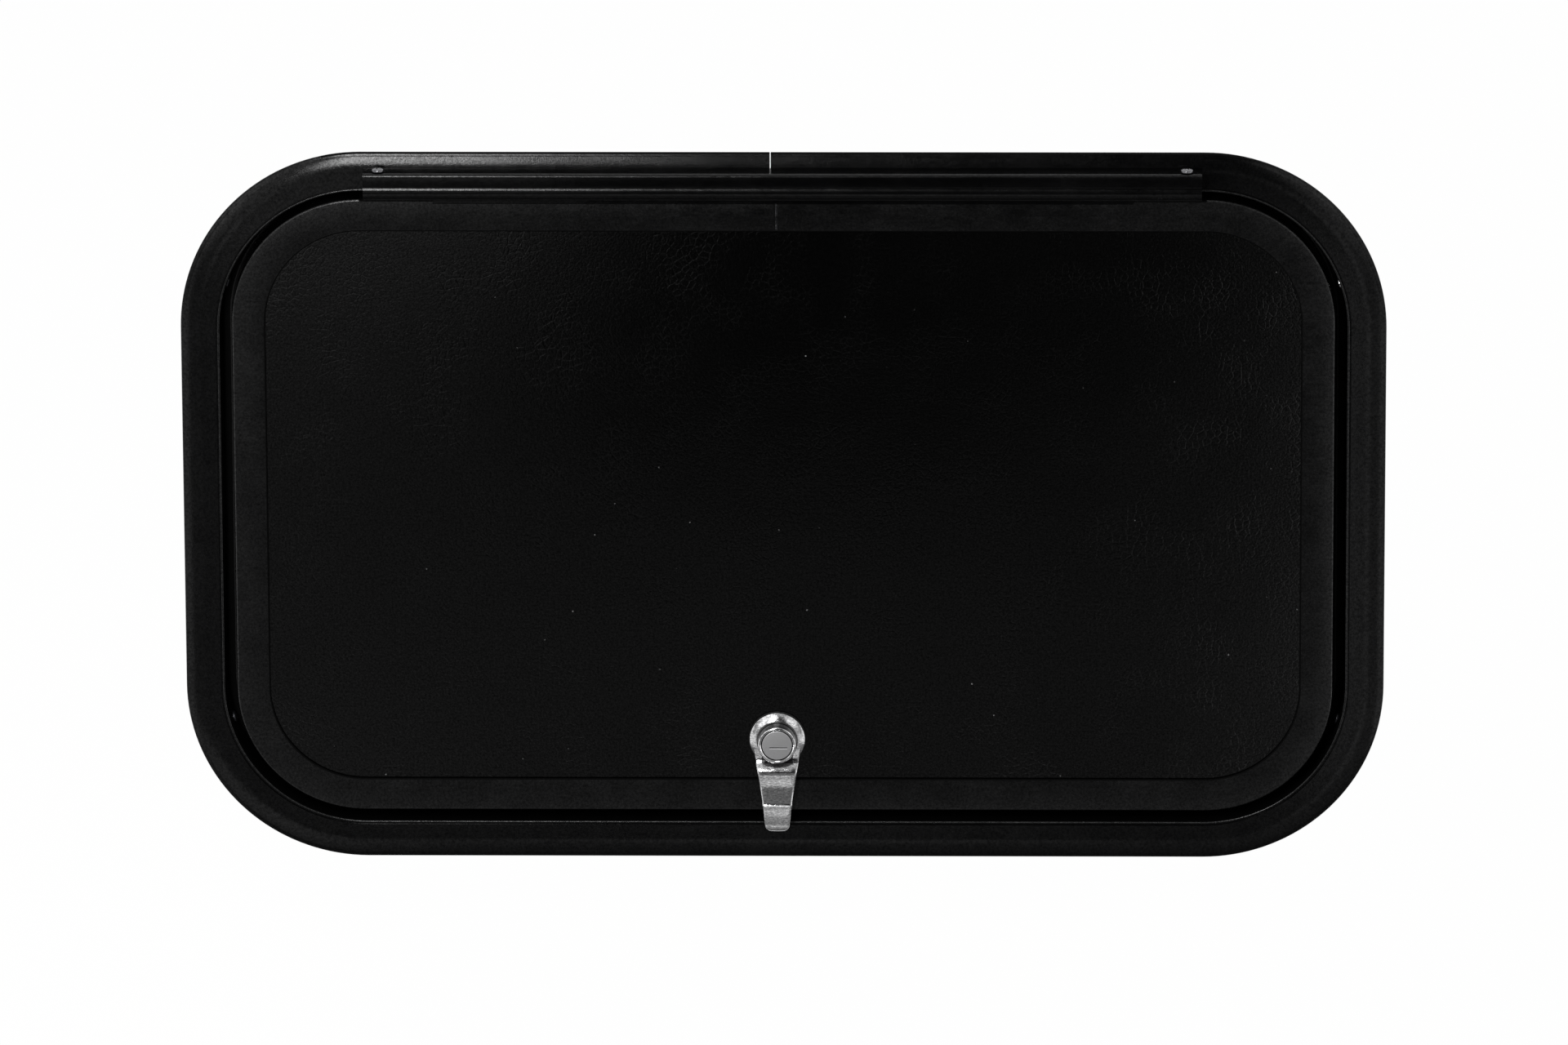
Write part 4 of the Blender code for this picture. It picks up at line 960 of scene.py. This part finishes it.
# Latch body: a rubber gasket under the handle's head, a threaded bushing through the panel,
# and a washer and a big hexagon nut that clamp it from inside.
LATCH_AXIS = joint_place("handle_turn")
softened("head_gasket", "latch_gasket", RUBBER, "lid", 0.0003, 3)
softened("panel_bushing", "latch_bushing", ZINC, "lid", 0.0002)
softened("panel_washer", "latch_washer", STEEL, "lid", 0.0002)
softened("panel_nut", "latch_nut", STEEL, "lid", 0.0005, 3)

# Handle: a chromed zinc casting. A skirted round head carries a hub for the lock,
# and the lever hangs from it, hollowed behind the fingers, with a crease above its flat tip.
handle_low, handle_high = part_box("handle")
HEAD_RADIUS = 0.0168
HEAD_RIM = 0.0012
HEAD_EDGE = 0.0004
SKIRT_RISE = 0.0036
HUB_RADIUS = 0.0116
HUB_EDGE = 0.0011
HUB_COVE = 0.0010
# how far up the hub wall the painted shade in the cove reaches
CORNER_SHADE_REACH = 0.0060
CORNER_OVERLAP = HUB_EDGE / 9
LOCK_BORE = 0.0098
LOCK_DEPTH = 0.0057
RECESS_RADIUS = 0.0128
RECESS_DEPTH = 0.0018
SOCKET_RADIUS = 0.0053
SOCKET_FLOOR = 0.0071
LEVER_LENGTH = LATCH_AXIS.z - handle_low.z
LEVER_CREASE = 0.0400
LEVER_BEVEL = 0.0013
LEVER_BEVEL_SHARE = 0.42
LEVER_CROWN = 0.00015
LEVER_TIP_ROUND = 0.0042
TIP_STEP = 12
TIP_HALF = 0.0077
TIP_FRONT = 0.0097
TIP_FRONT_FALL = 0.4
TIP_BACK = 0.0052
TIP_BACK_RISE = 0.3
HEAD_STEPS = 96
HANDLE_CREASE = 28.0
head_base_y = handle_high.y
hub_front_y = handle_low.y
skirt_top = head_base_y - SKIRT_RISE
rim_y = head_base_y - HEAD_RIM
head_profile = [
    (0, hub_front_y + LOCK_DEPTH),
    (LOCK_BORE, hub_front_y + LOCK_DEPTH),
    (LOCK_BORE, hub_front_y + HUB_EDGE / 2),
    (LOCK_BORE + HUB_EDGE / 2, hub_front_y),
    *arc(HUB_RADIUS - HUB_EDGE, hub_front_y + HUB_EDGE, HUB_EDGE, -90, 0, 6),
    *arc(HUB_RADIUS + HUB_COVE, skirt_top - HUB_COVE, HUB_COVE, 180, 90, 6),
    *arc(HEAD_RADIUS - HEAD_EDGE, rim_y + HEAD_EDGE, HEAD_EDGE, -60, 0, 4),
    (HEAD_RADIUS, head_base_y),
    (RECESS_RADIUS, head_base_y),
    (RECESS_RADIUS, head_base_y - RECESS_DEPTH),
    (SOCKET_RADIUS, head_base_y - RECESS_DEPTH),
    (SOCKET_RADIUS, hub_front_y + SOCKET_FLOOR),
    (0, hub_front_y + SOCKET_FLOOR),
]
head_shape = turned(head_profile, HEAD_STEPS)
# stations of the lever: below the axis, half width, front and back off the head's base
neck = [(0.0050, 0.0146, 0.0048, 0.0022), (0.0122, 0.0133, 0.0041, 0.0022)]
grip = [
    (0.0130, 0.0132, 0.0078, 0.0026),
    (0.0165, 0.0125, 0.0103, 0.0036),
    (0.0195, 0.0119, 0.0109, 0.0050),
    (0.0235, 0.0113, 0.0104, 0.0060),
    (0.0290, 0.0105, 0.0100, 0.0060),
    (0.0360, 0.0095, 0.0104, 0.0058),
    (0.0390, 0.0092, 0.0107, 0.0060),
    (LEVER_CREASE, 0.0090, 0.0118, 0.0062),
]
tip = [
    (LEVER_CREASE + 0.0010, 0.0088, 0.0116, 0.0062),
    (LEVER_CREASE + 0.0070, 0.0083, 0.0109, 0.0058),
    (LEVER_LENGTH - LEVER_TIP_ROUND, TIP_HALF, TIP_FRONT, TIP_BACK),
]
tip_end = [
    (
        LEVER_LENGTH - LEVER_TIP_ROUND * (1 - math.sin(turn)),
        TIP_HALF - LEVER_TIP_ROUND * (1 - math.cos(turn)),
        TIP_FRONT - TIP_FRONT_FALL * LEVER_TIP_ROUND * (1 - math.cos(turn)),
        TIP_BACK + TIP_BACK_RISE * LEVER_TIP_ROUND * (1 - math.cos(turn)),
    )
    for turn in (math.radians(TIP_STEP * step) for step in range(1, 8))
]


def smoothed(stations, steps):
    """Stations with more filled in between them along a smooth curve."""
    ends = [stations[0], *stations, stations[-1]]
    filled = []
    for before, start, end, after in zip(ends, ends[1:], ends[2:], ends[3:]):
        p, q, r, s = (Vector(point) for point in (before, start, end, after))
        for step in range(steps):
            share = step / steps
            curve = (2 * p - 5 * q + 4 * r - s) * share**2 + (3 * q - p - 3 * r + s) * share**3
            filled.append(tuple((2 * q + (r - p) * share + curve) / 2))
    return [*filled, stations[-1]]


def lever_section(half, front, back):
    """A station's outline: a slightly crowned bar with rounded edges."""
    bevel = min(LEVER_BEVEL, LEVER_BEVEL_SHARE * (front - back))
    soft = bevel / 2
    left = arc(-half + bevel, front - bevel, bevel, 180, 90, 5)
    right = arc(half - bevel, front - bevel, bevel, 90, 0, 5)
    reach = half - bevel
    across = [reach * step / 4 for step in range(-3, 4)]
    top = [(x, front + LEVER_CROWN * (1 - (x / reach) ** 2)) for x in across]
    under = [(half, back + soft), (half - soft, back), (-half + soft, back)]
    return [(-half, back + soft), *left, *top, *right, *under]


lever = bmesh.new()
loops = [
    wire(lever, [(x, head_base_y - out, -below) for x, out in lever_section(half, front, back)])
    for below, half, front, back in [*neck, *smoothed(grip, 5), *smoothed(tip, 4), *tip_end]
]
for near, far in zip(loops, loops[1:]):
    bmesh.ops.bridge_loops(lever, edges=near + far)
bmesh.ops.edgeloop_fill(lever, edges=loops[0])
bmesh.ops.edgeloop_fill(lever, edges=loops[-1])
handle_shape = combined(head_shape, lever, "UNION")
# faces in the lock bore take painted shade, and faces in the cove round the hub a dark metal as painted shade
for face in handle_shape.faces:
    middle = face.calc_center_median()
    out = math.hypot(middle.x, middle.z)
    if out < LOCK_BORE and middle.y > hub_front_y + HUB_EDGE / 2:
        face.material_index = 1
    elif HUB_RADIUS - CORNER_OVERLAP < out < HUB_RADIUS + HUB_COVE and middle.y > skirt_top - CORNER_SHADE_REACH:
        face.material_index = 2
put(handle_shape, Matrix(), (LATCH_AXIS.x, 0, LATCH_AXIS.z))
CHROME, chrome_tree, chrome_shader = new_finish("polished_chrome", (0.58, 0.58, 0.585), 0.1, 1.0, 0.5)
polish = noise(chrome_tree, (1, 1, 1.6), Scale=330.0, Detail=4.0)
roughened(chrome_tree, chrome_shader, polish, 0.06, 0.18, 0.3, 0.7)
mottle = noise(chrome_tree, (1, 1, 2.4), Scale=540.0, Detail=5.0, Roughness=0.8)
mottled = between(chrome_tree, mottle, 0.0, 1.0, 0.39, 0.62)
tinted(chrome_tree, chrome_shader, mottled, (0.31, 0.31, 0.315), (0.86, 0.86, 0.865))
ripple = noise(chrome_tree, (1, 1, 1.8), Scale=230.0, Detail=2.5)
buffed = noise(chrome_tree, (1, 1, 3.0), Scale=800.0, Detail=3.0)
chrome_normal = raised(chrome_tree, ripple, 0.00016, 0.4)
chrome_normal = raised(chrome_tree, buffed, 0.00005, 0.6, chrome_normal)
chrome_tree.links.new(chrome_normal, chrome_shader.inputs["Normal"])
# Painted shade for the lock bore and the plug's sides, near-black and mottled at random.
BORE_SHADE, bore_shade_tree, bore_shade_shader = new_finish("bore_painted_shade", (0.004, 0.004, 0.004), 0.8, 0.0, 0.1)
bore_shade_mottle = noise(bore_shade_tree, Scale=900.0, Detail=3.0)
tinted(bore_shade_tree, bore_shade_shader, bore_shade_mottle, (0.002, 0.002, 0.002), (0.010, 0.010, 0.010))
# Painted shade for the cove round the hub: a dark metal, mottled at random.
COVE_SHADE, cove_shade_tree, cove_shade_shader = new_finish("cove_painted_shade", (0.06, 0.06, 0.06), 0.25, 1.0, 0.5)
cove_shade_mottle = noise(cove_shade_tree, Scale=500.0, Detail=4.0)
tinted(cove_shade_tree, cove_shade_shader, cove_shade_mottle, (0.03, 0.03, 0.03), (0.12, 0.12, 0.12))
piece("lever_handle", handle_shape, [CHROME, BORE_SHADE, COVE_SHADE], "handle", ["handle"], HANDLE_CREASE)

# Lock: a satin plug face in the hub with a thin gap round it and a shuttered keyway, both darkened
# with painted shade, held in a black sleeve.
plug_low, plug_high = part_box("lock_plug")
PLUG_RADIUS = (plug_high.x - plug_low.x) / 2
PLUG_EDGE = 0.0004
PLUG_FACE_WALL = 0.0020
PLUG_BODY = 0.0065
KEYWAY_LENGTH = 0.0109
KEYWAY_WIDTH = 0.0012
KEYWAY_DEPTH = 0.0014
KEYWAY_ASIDE = 0.0009
KEYWAY_DROP = 0.0017
KEYWAY_CHAMFER = 0.0006
plug_profile = [
    (0, plug_low.y),
    *arc(PLUG_RADIUS - PLUG_EDGE, plug_low.y + PLUG_EDGE, PLUG_EDGE, -90, 0, 5),
    (PLUG_RADIUS, plug_low.y + PLUG_FACE_WALL),
    (PLUG_BODY, plug_low.y + PLUG_FACE_WALL),
    (PLUG_BODY, plug_high.y),
    (0, plug_high.y),
]
slot_top = -KEYWAY_DROP + KEYWAY_WIDTH / 2
slot_bottom = slot_top - KEYWAY_WIDTH + KEYWAY_CHAMFER
slot_front = plug_low.y - KEYWAY_CHAMFER
slot_outline = [
    (slot_front, slot_top),
    (plug_low.y + KEYWAY_DEPTH, slot_top),
    (plug_low.y + KEYWAY_DEPTH, slot_bottom),
    (plug_low.y + KEYWAY_CHAMFER, slot_bottom),
    (slot_front, slot_bottom - 2 * KEYWAY_CHAMFER),
]
keyway = bmesh.new()
slot_left = wire(keyway, [(KEYWAY_ASIDE - KEYWAY_LENGTH / 2, y, z) for y, z in slot_outline])
slot_right = run_on(keyway, slot_left, (KEYWAY_LENGTH, 0, 0))
bmesh.ops.edgeloop_fill(keyway, edges=slot_left)
bmesh.ops.edgeloop_fill(keyway, edges=slot_right)
plug_shape = combined(turned(plug_profile, HEAD_STEPS), keyway, "DIFFERENCE")
# the plug's sides and the keyway's inside take the painted shade
for face in plug_shape.faces:
    if face.calc_center_median().y > plug_low.y + PLUG_EDGE:
        face.material_index = 1
put(plug_shape, Matrix(), (LATCH_AXIS.x, 0, LATCH_AXIS.z))
SATIN, satin_tree, satin_shader = new_finish("satin_chrome", (0.48, 0.48, 0.485), 0.4, 1.0, 0.5)
brush = noise(satin_tree, (6, 60, 60), Scale=90.0, Detail=4.0)
roughened(satin_tree, satin_shader, brush, 0.34, 0.5)
satin_tree.links.new(raised(satin_tree, brush, 0.00002, 0.5), satin_shader.inputs["Normal"])
piece("keyed_plug", plug_shape, [SATIN, BORE_SHADE], "lock", ["lock_plug"])
coat_node("lock_sleeve", ZINC)

# Spindle and cam: a zinc-plated steel spindle turns in the bushing and carries the flat cam on its square,
# held by a washer and a hexagon nut.
softened("cam_spindle", "latch_spindle", STEEL, "handle", 0.0002)
softened("flat_cam", "latch_cam", STEEL, "handle", 0.0003, 3)
softened("stud_washer", "cam_washer", STEEL, "handle", 0.00015)
softened("stud_nut", "cam_nut", STEEL, "handle", 0.0003, 3)
